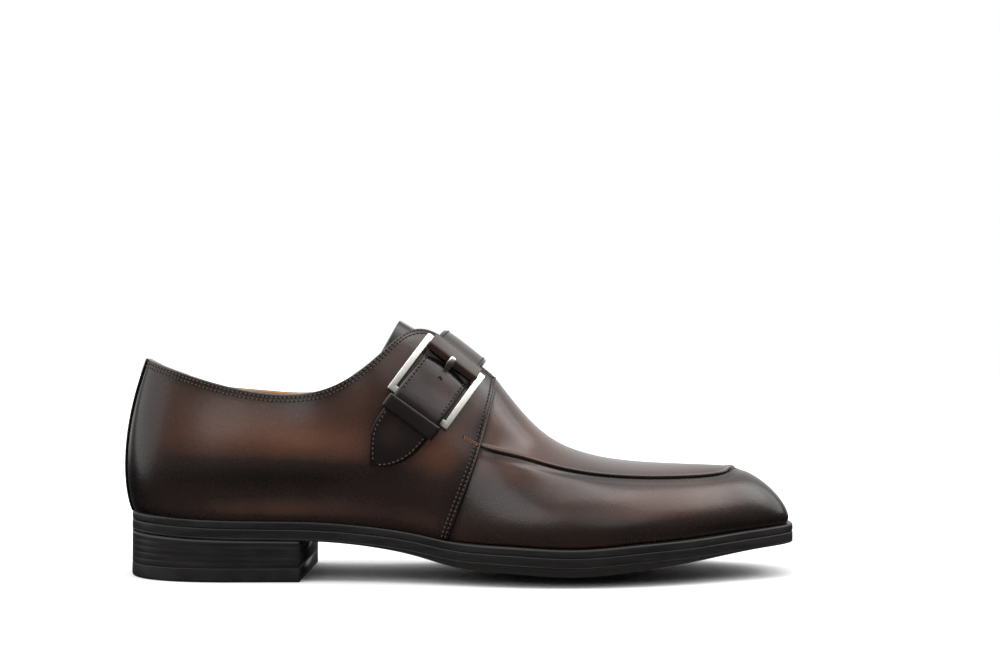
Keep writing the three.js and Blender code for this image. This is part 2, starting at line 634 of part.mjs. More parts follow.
const form = makeForm();
const ANGLES = places(-100, 130, 46).map((a) => THREE.MathUtils.degToRad(a));
const LANES = places(-20, 20, 8);
function sight(angle, lane) {
  const origin = hub.clone().addScaledVector(toToe, lane);
  const way = uphill.clone().multiplyScalar(Math.cos(angle)).add(new THREE.Vector3(0, -Math.sin(angle), 0));
  const hits = new THREE.Raycaster(origin, way).intersectObject(form);
  return hits.length ? hits[0].distance : null;
}
const radii = LANES.map((lane) => {
  const raw = ANGLES.map((a) => sight(a, lane));
  let last = raw.find((r) => r !== null);
  const filled = raw.map((r) => (last = r ?? last));
  return filled.map((r, i) => (filled[Math.max(i - 1, 0)] + 2 * r + filled[Math.min(i + 1, filled.length - 1)]) / 4);
});
const radiusCurves = radii.map((r) => curveThrough(ANGLES, r));
function radius(angle, lane) {
  const place = THREE.MathUtils.clamp((lane - LANES[0]) / (LANES[1] - LANES[0]), 0, LANES.length - 1.001);
  const i = Math.floor(place);
  return THREE.MathUtils.lerp(radiusCurves[i](angle), radiusCurves[i + 1](angle), place - i);
}
function onForm(angle, lane, height) {
  const r = radius(angle, lane) + height;
  return hub.clone().addScaledVector(toToe, lane)
    .addScaledVector(uphill, r * Math.cos(angle)).add(new THREE.Vector3(0, -r * Math.sin(angle), 0));
}
const fineAngles = places(ANGLES[0], ANGLES[ANGLES.length - 1], 460);
const finePoints = fineAngles.map((a) => onForm(a, 0, 0));
const fineLengths = [0];
finePoints.forEach((p, i) => i && fineLengths.push(fineLengths[i - 1] + p.distanceTo(finePoints[i - 1])));
const crestLength = fineLengths[fineAngles.findIndex((a) => a >= 0)];
function angleAlong(along) {
  const want = along + crestLength;
  let i = fineLengths.findIndex((l) => l >= want);
  if (i < 1) i = i === 0 ? 1 : fineLengths.length - 1;
  const share = (want - fineLengths[i - 1]) / (fineLengths[i] - fineLengths[i - 1]);
  return fineAngles[i - 1] + share * (fineAngles[i] - fineAngles[i - 1]);
}
function onStrap(along, across, height) {
  return onForm(angleAlong(along), across, height);
}

// How high the strap's underside lies: on the quarter, over the buckle's lower bar, then down to its tip.
const BUCKLE_END = BUCKLE_DOWN + BUCKLE_LENGTH;
const KEEPER_START = BUCKLE_END + 1.5;
const TIP_START = KEEPER_START + KEEPER_LENGTH;
const LOWER_BAR_HEIGHT = GAP;
const OVER_BAR = LOWER_BAR_HEIGHT + BAR_THICK + 2 * GAP;
const strapKnots = [-STRAP_DOWN_INNER - 10, -STRAP_DOWN_INNER, 0, BUCKLE_DOWN, BUCKLE_END - 12, BUCKLE_END - 2,
  TIP_START, TIP_START + TIP_LENGTH, TIP_START + TIP_LENGTH + 10];
const strapHeights = [STRAP_LIE, STRAP_LIE, STRAP_LIE, STRAP_LIE, 2 * STRAP_LIE, OVER_BAR, OVER_BAR - GAP,
  TIP_LIFT, TIP_LIFT];
const strapHeight = curveThrough(strapKnots, strapHeights);

// Edges of the strap: straight to its tip, then a fin with its point nearer to the heel.
const HALF_STRAP = STRAP_WIDTH / 2;
const tipShares = [0, 0.2, 0.45, 0.7, 0.88, 1];
const rearTip = curveThrough(tipShares, [-1, -0.99, -0.9, -0.62, -0.36, -0.2]);
const frontTip = curveThrough(tipShares, [1, 0.96, 0.86, 0.6, 0.24, -0.16]);
function strapEdges(along) {
  const share = (along - TIP_START) / TIP_LENGTH;
  if (share <= 0) return [-HALF_STRAP, HALF_STRAP];
  return [rearTip(share) * HALF_STRAP, frontTip(share) * HALF_STRAP];
}
function makeStrap() {
  const stations = [
    ...places(-STRAP_DOWN_INNER, BUCKLE_END - 14, 26),
    ...places(BUCKLE_END - 14, TIP_START, 8).slice(1),
    ...places(TIP_START, TIP_START + TIP_LENGTH, 10).slice(1),
  ];
  const shares = [0, 0.08, 0.5, 0.92, 1];
  const build = (rise) => stations.map((along) => {
    const [rear, front] = strapEdges(along);
    return shares.map((share, i) => {
      const isRim = i === 0 || i === shares.length - 1;
      const round = rise > 0 && isRim ? RIM_ROUND : 0;
      return onStrap(along, rear + share * (front - rear), strapHeight(along) + rise - round);
    });
  });
  return solidBetween(build(STRAP_THICK), build(0));
}

// A ring of four bars bent with the instep: its upper bar over the strap, its lower bar under it.
const UPPER_BAR_HEIGHT = GAP + STRAP_THICK + 2 * GAP + WRAP_THICK;
function frameHeight(along) {
  const share = THREE.MathUtils.clamp((along - BUCKLE_DOWN) / BUCKLE_LENGTH, 0, 1);
  return THREE.MathUtils.lerp(UPPER_BAR_HEIGHT, LOWER_BAR_HEIGHT, share);
}
function makeBuckleFrame() {
  const half = BUCKLE_WIDTH / 2;
  const inner = half - BAR_WIDTH;
  const start = BUCKLE_DOWN;
  const end = BUCKLE_END;
  const down = places(start + BAR_WIDTH, end - BAR_WIDTH, 6);
  const side = (sign) => down.map((a) => [[a, sign * half], [a, sign * inner]]);
  const loop = [
    [[start, -half], [start + BAR_WIDTH, -inner]],
    ...places(-inner, inner, 4).slice(1, -1).map((c) => [[start, c], [start + BAR_WIDTH, c]]),
    [[start, half], [start + BAR_WIDTH, inner]],
    ...side(1).slice(1, -1),
    [[end, half], [end - BAR_WIDTH, inner]],
    ...places(inner, -inner, 4).slice(1, -1).map((c) => [[end, c], [end - BAR_WIDTH, c]]),
    [[end, -half], [end - BAR_WIDTH, -inner]],
    ...side(-1).slice(1, -1).reverse(),
  ];
  const build = (rise) => loop.map((pair) => pair.map(([a, c]) => onStrap(a, c, frameHeight(a) + rise)));
  return solidBetween(build(BAR_THICK), build(0), true);
}

// A leather sleeve round the upper bar, split along its underside only by the bar itself.
function makeBarWrap() {
  const half = BUCKLE_WIDTH / 2 - BAR_WIDTH - GAP;
  const middle = BUCKLE_DOWN + BAR_WIDTH / 2;
  const ring = (c, grow) => {
    const long = (grow ? WRAP_LENGTH : BAR_WIDTH + 2 * GAP) / 2;
    const thick = grow ? WRAP_THICK : LIE;
    const low = UPPER_BAR_HEIGHT - thick;
    const high = UPPER_BAR_HEIGHT + BAR_THICK + thick;
    const flat = long * (grow ? 0.6 : 0.9);
    return [
      [-long, (low + high) / 2], [-flat, low], [flat, low], [long, (low + high) / 2], [flat, high], [-flat, high],
    ].map(([a, h]) => onStrap(middle + a, c, h));
  };
  const cs = places(-half, half, 6);
  return tubeBetween(cs.map((c) => ring(c, true)), cs.map((c) => ring(c, false)));
}

// A closed tube wall between outer and inner rings, [ring][point], open at both ends.
function tubeBetween(outerRings, innerRings) {
  const count = outerRings[0].length;
  const turn = (rings) => Array.from({ length: count }, (_, i) => rings.map((ring) => ring[i]));
  return solidBetween(turn(outerRings), turn(innerRings), true);
}

// The keeper: a band round the strap just below the buckle.
function makeKeeper() {
  const ring = (along, grow) => {
    const half = HALF_STRAP + GAP + (grow ? KEEPER_THICK : 0);
    const low = strapHeight(along) - GAP - (grow ? KEEPER_THICK : 0);
    const high = strapHeight(along) + STRAP_THICK + GAP + (grow ? KEEPER_THICK : 0);
    const cut = grow ? 0.8 : 0.2;
    return [
      [-half, low + cut], [-half + cut, low], [0, low], [half - cut, low], [half, low + cut],
      [half, high - cut], [half - cut, high], [0, high], [-half + cut, high], [-half, high - cut],
    ].map(([c, h]) => onStrap(along, c, h));
  };
  const stations = places(KEEPER_START, KEEPER_START + KEEPER_LENGTH, 2);
  return tubeBetween(stations.map((a) => ring(a, true)), stations.map((a) => ring(a, false)));
}

// The prong's nub comes out over the sleeve's lower half and its tip lies on the strap.
function makeProng() {
  const half = PRONG_WIDTH / 2;
  const tip = BUCKLE_DOWN + BAR_WIDTH;
  const end = tip + PRONG_LENGTH;
  const stations = [0, 0.12, 0.4, 0.7, 1];
  const widths = [0.45, 0.9, 1, 1, 0.9];
  const wrapTop = UPPER_BAR_HEIGHT + BAR_THICK + WRAP_THICK + GAP;
  const heights = [wrapTop, wrapTop, wrapTop, wrapTop - 0.6, GAP + STRAP_THICK + GAP];
  const build = (rise) => stations.map((share, i) => [-1, -0.5, 0.5, 1].map((c) => {
    const round = rise > 0 && Math.abs(c) === 1 ? RIM_ROUND : 0;
    const along = tip + share * (end - tip);
    return onStrap(along, c * half * widths[i], heights[i] + rise - round);
  }));
  return solidBetween(build(1.6), build(0));
}

// Colours of the finishes.
const finishes = {
  leather: { color: 0x4a2a1e, roughness: 0.35, metalness: 0 },
  edge: { color: 0x17120f, roughness: 0.4, metalness: 0 },
  lining: { color: 0xc08a54, roughness: 0.7, metalness: 0 },
  rubber: { color: 0x141312, roughness: 0.6, metalness: 0 },
  metal: { color: 0xcfcac2, roughness: 0.2, metalness: 1 },
};
const group = new THREE.Group();
function add(name, geometry, finish) {
  const mesh = new THREE.Mesh(geometry, new THREE.MeshStandardMaterial(finishes[finish]));
  mesh.name = name;
  group.add(mesh);
}
add('upper', makeUpper(), 'leather');
add('outsole', makeOutsole(), 'edge');
add('welt', makeWelt(), 'edge');
add('insole', makeInsole(), 'lining');
add('heel_stack', makeHeelStack(), 'edge');
add('heel_top_lift', makeTopLift(), 'rubber');
add('tongue', makeTongue(), 'leather');
add('heel_strip', makeHeelStrip(), 'leather');
add('strap', makeStrap(), 'leather');
add('strap_keeper', makeKeeper(), 'leather');
add('bar_wrap', makeBarWrap(), 'leather');
add('buckle_frame', makeBuckleFrame(), 'metal');
add('buckle_prong', makeProng(), 'metal');

// Brings the middle of the footprint's box to the origin.
const box = new THREE.Box3().setFromObject(group, true);
const middle = box.getCenter(new THREE.Vector3());
group.position.set(-middle.x, -middle.y, -box.min.z);

export default group;
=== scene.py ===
import math

import bmesh
import bpy
import numpy as np
from mathutils import Matrix, Vector
from mathutils.bvhtree import BVHTree


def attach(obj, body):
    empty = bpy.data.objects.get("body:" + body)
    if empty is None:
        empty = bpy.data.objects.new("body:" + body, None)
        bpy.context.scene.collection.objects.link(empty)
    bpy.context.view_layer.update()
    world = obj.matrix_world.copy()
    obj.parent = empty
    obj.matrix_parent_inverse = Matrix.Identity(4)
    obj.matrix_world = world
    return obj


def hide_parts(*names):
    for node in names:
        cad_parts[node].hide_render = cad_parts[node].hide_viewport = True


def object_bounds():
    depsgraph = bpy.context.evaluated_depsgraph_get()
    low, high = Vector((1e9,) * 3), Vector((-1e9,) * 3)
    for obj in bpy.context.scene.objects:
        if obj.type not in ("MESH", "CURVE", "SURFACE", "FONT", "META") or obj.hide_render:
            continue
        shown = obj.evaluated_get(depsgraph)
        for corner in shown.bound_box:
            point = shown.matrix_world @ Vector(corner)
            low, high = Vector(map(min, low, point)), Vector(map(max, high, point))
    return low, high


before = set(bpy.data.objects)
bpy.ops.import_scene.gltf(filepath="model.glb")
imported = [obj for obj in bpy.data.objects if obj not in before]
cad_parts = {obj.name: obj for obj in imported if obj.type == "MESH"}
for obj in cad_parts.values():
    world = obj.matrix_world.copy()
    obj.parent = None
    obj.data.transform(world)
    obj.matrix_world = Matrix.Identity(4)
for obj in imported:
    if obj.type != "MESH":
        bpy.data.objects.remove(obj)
cad_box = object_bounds()

# The shoe is worked out in millimetres from the back of its sole, as in the part's source.
MM = 0.001
FOOTPRINT_MIDDLE = np.array([148.938, 1.6146, 0.0])
OUTER = -1
INNER = 1

SOLE_LENGTH = 301.5
BALL_WIDTH = 105
BACK_HEIGHT = 97
COLLAR_HEIGHT = 83
INSTEP_HEIGHT = 112.5
THROAT_HEIGHT = 88
VAMP_HEIGHT = 50
SEAT_HEIGHT = 29
BALL_SEAT_HEIGHT = 16.4
TOE_SEAT_HEIGHT = 23.6
UPPER_WALL = 1.9
QUARTER_STEP = 1.1
GAP = 0.3
LIE = 0.45
WELT_LEDGE = 4
WELT_THICK = 3.4
WELT_SEAT = UPPER_WALL + GAP
OUTSOLE_THICK = 4.6
INSOLE_RISE = 0.8
HEEL_LENGTH = 80.5
LIFT_THICK = 6
BELLY = 10
LEAN = 0.12
LOW_SWEEP = 0.15
CROWN_POWER = 2.4
TONGUE_THICK = 1.6
TONGUE_PROUD = 16.8
TONGUE_NARROWS = 0.86
TONGUE_LEANS = 2.6
TONGUE_CROWN = 0.8
STRIP_THICK = 1
STRIP_WIDTH = 12
STRAP_WIDTH = 23.6
STRAP_THICK = 2.1
STRAP_DOWN_INNER = 38
STRAP_LIE = 2 * GAP
BUCKLE_WIDTH = 32
BUCKLE_LENGTH = 28.5
BUCKLE_DOWN = 22.3
BAR_WIDTH = 2.9
BAR_THICK = 2
WRAP_LENGTH = 6.2
WRAP_THICK = 0.8
KEEPER_LENGTH = 5.8
KEEPER_THICK = 1.3
PRONG_WIDTH = 3
PRONG_LENGTH = 5.2
PRONG_HIDDEN = 1.6
TIP_LENGTH = 22.2
TIP_LIFT = 1.4

# Sections from the middle of the heel's back to the middle of the toe. Columns: place along the sole,
# outer and inner half width, ledge, height of the feather edge, crown of the sole.
S, B, T = SEAT_HEIGHT, BALL_SEAT_HEIGHT, TOE_SEAT_HEIGHT
SOLE_ROWS = np.array([
    (0.0, 0, 0, 0.5, S, 0),
    (0.022, 0.172, 0.172, 0.5, 0.995 * S, 0),
    (0.095, 0.294, 0.294, 0.5, 0.955 * S, 0),
    (0.19, 0.313, 0.309, 0.5, 0.925 * S, 0),
    (0.29, 0.311, 0.288, 0.5, 0.905 * S, 1.5),
    (0.39, 0.333, 0.27, 0.55, 0.82 * S, 3.2),
    (0.44, 0.362, 0.284, 0.65, 0.745 * S, 4.6),
    (0.459, 0.376, 0.294, 0.72, 0.705 * S, 5.2),
    (0.48, 0.394, 0.312, 0.8, 0.665 * S, 5.9),
    (0.575, 0.463, 0.42, 1, 1.06 * B, 7.7),
    (0.665, 0.482, 0.503, 1, B, 8.6),
    (0.755, 0.446, 0.504, 1, 1.1 * B, 8.2),
    (0.84, 0.366, 0.432, 1, 0.83 * T, 5.6),
    (0.915, 0.262, 0.313, 0.9, 0.915 * T, 3),
    (0.968, 0.186, 0.224, 0.75, 0.97 * T, 1.2),
    (0.994, 0.118, 0.156, 0.65, 0.995 * T, 0.6),
    (1.0, -0.018, 0.018, 0.65, T, 0),
])
CORNER_ROW = 8

# Sides of the upper. Columns: flare, belly, low, mid, sweep, turn, seam.
WALL_ROWS = np.array([
    (0.3, 0.75, 0.08, 0.4, 0.12, 1, 0.5),
    (0.3, 0.72, 0.08, 0.4, 0.12, 1, 0.5),
    (0.3, 0.66, 0.09, 0.4, 0.12, 1, 0.5),
    (0.3, 0.62, 0.1, 0.42, 0.15, 0.6, 0.5),
    (0.22, 0.62, 0.1, 0.44, 0.25, 0.2, 0.5),
    (0.2, 0.6, 0.1, 0.5, 0.45, 0, 0.5),
    (0.22, 0.5, 0.1, 0.53, 0.62, 0, 0.5),
    (0.26, 0.4, 0.1, 0.54, 0.75, 0, 0.51),
    (0.3, 0.3, 0.1, 0.55, 0.85, 0, 0.519),
    (0.42, 0.12, 0.12, 0.6, 0.6, 0, 0.607),
    (0.5, 0.15, 0.14, 0.66, 0.3, 0.2, 0.644),
    (0.48, 0.22, 0.16, 0.68, 0.12, 0.5, 0.673),
    (0.42, 0.2, 0.16, 0.66, 0.12, 0.8, 0.69),
    (0.36, 0.12, 0.16, 0.62, 0.12, 1, 0.72),
    (0.34, 0.08, 0.16, 0.58, 0.12, 1, 0.789),
    (0.36, 0.06, 0.15, 0.56, 0.12, 1, 0.86),
    (0.38, 0.06, 0.14, 0.56, 0.12, 1, 0.868),
])

# Top edges. Columns: place along the sole, outer and inner half width, height, and the reach and drop of
# the wall under it.
OPEN_ROWS = np.array([
    (0.0255, 0, 0, BACK_HEIGHT, 6, 17),
    (0.037, 0.085, 0.078, 0.987 * BACK_HEIGHT, 5, 16),
    (0.1, 0.192, 0.188, 0.923 * BACK_HEIGHT, 3, 15),
    (0.191, 0.25, 0.254, 0.997 * COLLAR_HEIGHT, 2.5, 14),
    (0.2905, 0.266, 0.262, 0.997 * COLLAR_HEIGHT, 3, 13),
    (0.3865, 0.252, 0.245, 0.895 * INSTEP_HEIGHT, 6, 14),
    (0.45, 0.12, 0.12, 0.975 * INSTEP_HEIGHT, 13, 7),
    (0.4875, 0.088, 0.088, 0.915 * INSTEP_HEIGHT, 14, 5),
    (0.5445, 0.075, 0.075, 1.013 * THROAT_HEIGHT, 14, 4),
])
# Ridge of the vamp. Columns: place along the sole, height, reach of the wall under it.
VAMP_ROWS = np.array([
    (0.5535, THROAT_HEIGHT, 24),
    (0.612, 0.763 * THROAT_HEIGHT, 26),
    (0.672, 1.13 * VAMP_HEIGHT, 28),
    (0.745, 1.025 * VAMP_HEIGHT, 28),
    (0.8, 0.995 * VAMP_HEIGHT, 25),
    (0.845, 0.985 * VAMP_HEIGHT, 21),
    (0.873, 0.98 * VAMP_HEIGHT, 18),
    (0.887, 0.976 * VAMP_HEIGHT, 16),
    (0.892, 0.975 * VAMP_HEIGHT, 15.5),
])


class Curve:
    """A natural cubic curve through values at knots."""

    def __init__(self, knots, values):
        self.knots = np.array(knots, float)
        self.values = np.array(values, float)
        n = len(knots)
        self.bend = np.zeros(n)
        pivot = np.zeros(n)
        for i in range(1, n - 1):
            before = self.knots[i] - self.knots[i - 1]
            after = self.knots[i + 1] - self.knots[i]
            rise_after = (self.values[i + 1] - self.values[i]) / after
            rise_before = (self.values[i] - self.values[i - 1]) / before
            weight = 2 * (before + after) - before * pivot[i - 1]
            pivot[i] = after / weight
            self.bend[i] = (6 * (rise_after - rise_before) - before * self.bend[i - 1]) / weight
        for i in range(n - 2, 0, -1):
            self.bend[i] -= pivot[i] * self.bend[i + 1]

    def __call__(self, x):
        x = np.asarray(x, float)
        i = np.clip(np.searchsorted(self.knots, x, side="left") - 1, 0, len(self.knots) - 2)
        h = self.knots[i + 1] - self.knots[i]
        a = (self.knots[i + 1] - x) / h
        b = 1 - a
        swell = ((a**3 - a) * self.bend[i] + (b**3 - b) * self.bend[i + 1]) * h * h / 6
        return a * self.values[i] + b * self.values[i + 1] + swell


def mirrored_curve(knots, values, sign=1, at_start=True, at_end=True):
    """A curve that runs on past the middle of the heel or toe as its own mirror image."""
    ks, vs = list(knots), list(values)
    for i in range(1, 4):
        if at_start:
            ks.insert(0, 2 * knots[0] - knots[i])
            vs.insert(0, sign * values[i])
        if at_end:
            ks.append(2 * knots[-1] - knots[-1 - i])
            vs.append(sign * values[-1 - i])
    return Curve(ks, vs)


outer_points = np.stack([SOLE_ROWS[:, 0] * SOLE_LENGTH, -SOLE_ROWS[:, 1] * BALL_WIDTH], 1)
inner_points = np.stack([SOLE_ROWS[:, 0] * SOLE_LENGTH, SOLE_ROWS[:, 2] * BALL_WIDTH], 1)


def chords(points):
    return np.concatenate([[0], np.cumsum(np.linalg.norm(np.diff(points, axis=0), axis=1))])


outer_knots = chords(outer_points)
inner_knots = chords(inner_points)
HALF_LOOP = outer_knots[-1]
WHOLE_LOOP = HALF_LOOP + inner_knots[-1]
loop_knots = np.concatenate([outer_knots[:-1], (WHOLE_LOOP - inner_knots[1:])[::-1]])
loop_points = np.concatenate([outer_points[:-1], inner_points[1:][::-1]])
wrapped_knots = np.concatenate([loop_knots + turn * WHOLE_LOOP for turn in (-1, 0, 1)])
wrapped_points = np.tile(loop_points, (3, 1))
loop_x = Curve(wrapped_knots, wrapped_points[:, 0])
loop_y = Curve(wrapped_knots, wrapped_points[:, 1])
inner_place = mirrored_curve(outer_knots, inner_knots, -1, True, False)


def outline(side, q):
    """A place of the sole's outline and the level direction out of it."""
    side, q = np.broadcast_arrays(side, q)
    k = np.where(side == OUTER, q, WHOLE_LOOP - inner_place(q))
    ahead = np.stack([loop_x(k + 0.5) - loop_x(k - 0.5), loop_y(k + 0.5) - loop_y(k - 0.5)], -1)
    ahead /= np.linalg.norm(ahead, axis=-1, keepdims=True)
    out = np.stack([ahead[..., 1], -ahead[..., 0], np.zeros(q.shape)], -1)
    return np.stack([loop_x(k), loop_y(k), np.zeros(q.shape)], -1), out


ledge_at, seat_at, edge_at = (mirrored_curve(outer_knots, SOLE_ROWS[:, i]) for i in (3, 4, 5))
flare_at, belly_at, low_at, mid_at, sweep_at, turn_at, seam_at = (
    mirrored_curve(outer_knots, WALL_ROWS[:, i]) for i in range(7)
)
THROAT = outer_knots[CORNER_ROW]
open_at, open_outer, open_inner, open_top, open_reach, open_drop = (
    mirrored_curve(outer_knots[: CORNER_ROW + 1], OPEN_ROWS[:, i], sign, True, False)
    for i, sign in enumerate((1, -1, -1, 1, 1, 1))
)
vamp_at, vamp_top, vamp_reach = (
    mirrored_curve(outer_knots[CORNER_ROW:], VAMP_ROWS[:, i], 1, False, True) for i in range(3)
)


def mix(a, b, share):
    return a + (b - a) * share


def bell(x, reach):
    """1 at zero, falling off smoothly over the reach."""
    return np.exp(-((x / reach) ** 2))


def joined(*spans):
    """Even places over spans (start, end, count) that follow each other. Only the last takes in its end."""
    parts = [np.linspace(*span, endpoint=False) for span in spans[:-1]]
    return np.concatenate([*parts, np.linspace(*spans[-1])])


def section(side, q, is_open):
    """Five control points of the upper's outside from the welt to the top edge."""
    side, q = np.broadcast_arrays(side, np.asarray(q, float))
    rim, out = outline(side, q)
    foot = rim - out * (ledge_at(q) * WELT_LEDGE)[..., None]
    foot[..., 2] = seat_at(q)
    if is_open:
        half = side * np.where(side == OUTER, open_outer(q), open_inner(q)) * BALL_WIDTH
        top = np.stack([open_at(q) * SOLE_LENGTH, half, open_top(q)], -1)
        reach, drop = open_reach(q), open_drop(q)
    else:
        top = np.stack([vamp_at(q) * SOLE_LENGTH, np.zeros(q.shape), vamp_top(q)], -1)
        reach, drop = vamp_reach(q), np.zeros(q.shape)
    swing = np.stack([out[..., 0] * turn_at(q), out[..., 1], np.zeros(q.shape)], -1)
    swing /= np.linalg.norm(swing, axis=-1, keepdims=True)

    def between(x, y, z):
        return mix(foot, top, np.stack([x + 0 * q, y + 0 * q, z + 0 * q], -1))

    lower = between(LOW_SWEEP * sweep_at(q), 0, low_at(q)) + out * (flare_at(q) * BELLY)[..., None]
    middle = between(sweep_at(q), LEAN, mid_at(q)) + out * (belly_at(q) * BELLY)[..., None]
    upper = top + swing * reach[..., None]
    upper[..., 2] -= drop
    return np.stack([foot, lower, middle, upper, top])


def skin(side, q, t, is_open):
    controls = section(side, q, is_open)
    t = np.broadcast_to(t, controls.shape[1:-1])[..., None]
    weights = (1, 4, 6, 4, 1)
    return sum(w * (1 - t) ** (4 - i) * t**i * controls[i] for i, w in enumerate(weights))


# Near the vamp's ridge, by share of the way up: above the first a way out that points down is turned over,
# and above the second the way out is the one there. The steps are those that a way out is worked out over.
RIDGE_NEAR = 0.9
RIDGE_LAST = 0.975
STEP_Q = 0.4
STEP_T = 0.01


def skin_frame(side, q, t, is_open):
    """A point of the upper's outside and the direction out of it."""
    side, q, t = np.broadcast_arrays(side, np.asarray(q, float), np.asarray(t, float))
    near = t if is_open else np.minimum(t, RIDGE_LAST)
    least, most = (-np.inf, THROAT) if is_open else (THROAT, HALF_LOOP)
    a = skin(side, np.maximum(q - STEP_Q, least), near, is_open)
    b = skin(side, np.minimum(q + STEP_Q, most), near, is_open)
    c = skin(side, q, np.maximum(near - STEP_T, 0), is_open)
    d = skin(side, q, np.minimum(near + STEP_T, 1), is_open)
    out = np.cross(b - a, d - c)
    out /= np.linalg.norm(out, axis=-1, keepdims=True)
    out *= np.where(side == OUTER, 1, -1)[..., None]
    if not is_open:
        top = (t >= 1)[..., None]
        level = out * np.array([1, 0, 1])
        level /= np.linalg.norm(level, axis=-1, keepdims=True)
        out = np.where(top, level, out)
        out = np.where(((near > RIDGE_NEAR) & (out[..., 2] < 0))[..., None], -out, out)
    return skin(side, q, t, is_open), out


# Pieces.


# In metres: corners closer than the first become one, and edges shorter than the second go.
MERGE_M = 2e-6
DEGENERATE_M = 1e-6


def grid_bmesh(points, tone=None, uses=None):
    """A bmesh grid with its corners at points, in millimetres, [column][row].

    tone is each corner's darkness: burnish together with painted highlight and painted shade. uses gives the
    number of each face's finish, [column][row]."""
    columns, rows = points.shape[:2]
    bm = bmesh.new()
    bmesh.ops.create_grid(bm, x_segments=columns - 1, y_segments=rows - 1, size=0.5)
    if uses is not None:
        for face in bm.faces:
            middle = face.calc_center_median()
            c = int((middle.x + 0.5) * (columns - 1))
            r = int((middle.y + 0.5) * (rows - 1))
            face.material_index = int(uses[c % len(uses)][r])
    layer = bm.verts.layers.float.new("tone")
    place = (points - FOOTPRINT_MIDDLE) * MM
    for v in bm.verts:
        c = round((v.co.x + 0.5) * (columns - 1))
        r = round((v.co.y + 0.5) * (rows - 1))
        v.co = place[c, r]
        if tone is not None:
            v[layer] = tone[c, r]
    return bm


def grid_piece(name, points, finishes, wrap_columns=False, caps=False, tone=None, uses=None):
    """One closed piece from a grid of points whose rows run round it."""
    for axis in (1, 0) if wrap_columns else (1,):
        points = np.concatenate([points, np.take(points, [0], axis)], axis=axis)
        tone = None if tone is None else np.concatenate([tone, np.take(tone, [0], axis)], axis=axis)
    bm = grid_bmesh(points, tone, uses)
    bmesh.ops.remove_doubles(bm, verts=bm.verts, dist=MERGE_M)
    bmesh.ops.dissolve_degenerate(bm, edges=bm.edges, dist=DEGENERATE_M)
    if caps:
        bmesh.ops.holes_fill(bm, edges=[e for e in bm.edges if e.is_boundary])
    bmesh.ops.recalc_face_normals(bm, faces=bm.faces)
    return piece_from(bm, name, finishes)


def piece_from(bm, name, finishes):
    mesh = bpy.data.meshes.new(name)
    bm.to_mesh(mesh)
    bm.free()
    mesh.polygons.foreach_set("use_smooth", [True] * len(mesh.polygons))
    piece = bpy.data.objects.new(name, mesh)
    for finish in finishes:
        mesh.materials.append(finish)
    bpy.context.scene.collection.objects.link(piece)
    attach(piece, "root")
    return piece


# Finishes.


class Wire:
    """A socket's value; sums on it add Math nodes."""

    def __init__(self, graph, socket):
        self.graph = graph
        self.socket = socket

    def _sum(self, operation, a, b):
        return self.graph.node("ShaderNodeMath", {"operation": operation}, {0: a, 1: b})

    def __add__(self, other):
        return self._sum("ADD", self, other)

    def __radd__(self, other):
        return self._sum("ADD", other, self)

    def __sub__(self, other):
        return self._sum("SUBTRACT", self, other)

    def __mul__(self, other):
        return self._sum("MULTIPLY", self, other)

    def clamped(self):
        return self.graph.node("ShaderNodeClamp", {}, {0: self})


class Graph:
    """A node tree that starts empty."""

    def __init__(self, tree):
        self.tree = tree
        self.tree.nodes.clear()

    def node(self, kind, settings, inputs, output=0):
        node = self.tree.nodes.new(kind)
        for key, value in settings.items():
            if key == "stops":
                ramp = node.color_ramp
                while len(ramp.elements) < len(value):
                    ramp.elements.new(0.5)
                for stop, (place, colour) in zip(ramp.elements, value):
                    stop.position = place
                    stop.color = (*colour, 1.0)
            else:
                setattr(node, key, value)
        for key, value in inputs.items():
            self.join(node.inputs[key], value)
        return Wire(self, node.outputs[output])

    def join(self, socket, value):
        if isinstance(value, Wire):
            self.tree.links.new(value.socket, socket)
        else:
            socket.default_value = value


class Finish(Graph):
    """A material, its nodes and its shader."""

    def __init__(self, name, **constants):
        self.material = bpy.data.materials.new(name)
        self.material.use_nodes = True
        super().__init__(self.material.node_tree)
        output = self.tree.nodes.new("ShaderNodeOutputMaterial")
        self.shader = self.tree.nodes.new("ShaderNodeBsdfPrincipled")
        self.tree.links.new(self.shader.outputs[0], output.inputs[0])
        for key, value in constants.items():
            self.shader.inputs[key.replace("_", " ")].default_value = value

    def feed(self, name, value):
        self.join(self.shader.inputs[name], value)

    def coordinates(self):
        return self.node("ShaderNodeTexCoord", {}, {}, "Object")

    def noise(self, scale, detail=3.0, roughness=0.5, stretch=(1, 1, 1)):
        where = self.node("ShaderNodeMapping", {}, {"Vector": self.coordinates(), "Scale": stretch})
        inputs = {"Vector": where, "Scale": scale, "Detail": detail, "Roughness": roughness}
        return self.node("ShaderNodeTexNoise", {}, inputs)

    def cells(self, scale):
        return self.node("ShaderNodeTexVoronoi", {}, {"Vector": self.coordinates(), "Scale": scale})

    def tone(self):
        return self.node("ShaderNodeAttribute", {"attribute_name": "tone"}, {}, "Fac")

    def ramp(self, factor, stops):
        return self.node("ShaderNodeValToRGB", {"stops": stops}, {0: factor})

    def bump(self, height, distance):
        inputs = {"Height": height, "Distance": distance, "Strength": 1.0}
        self.feed("Normal", self.node("ShaderNodeBump", {}, inputs, "Normal"))


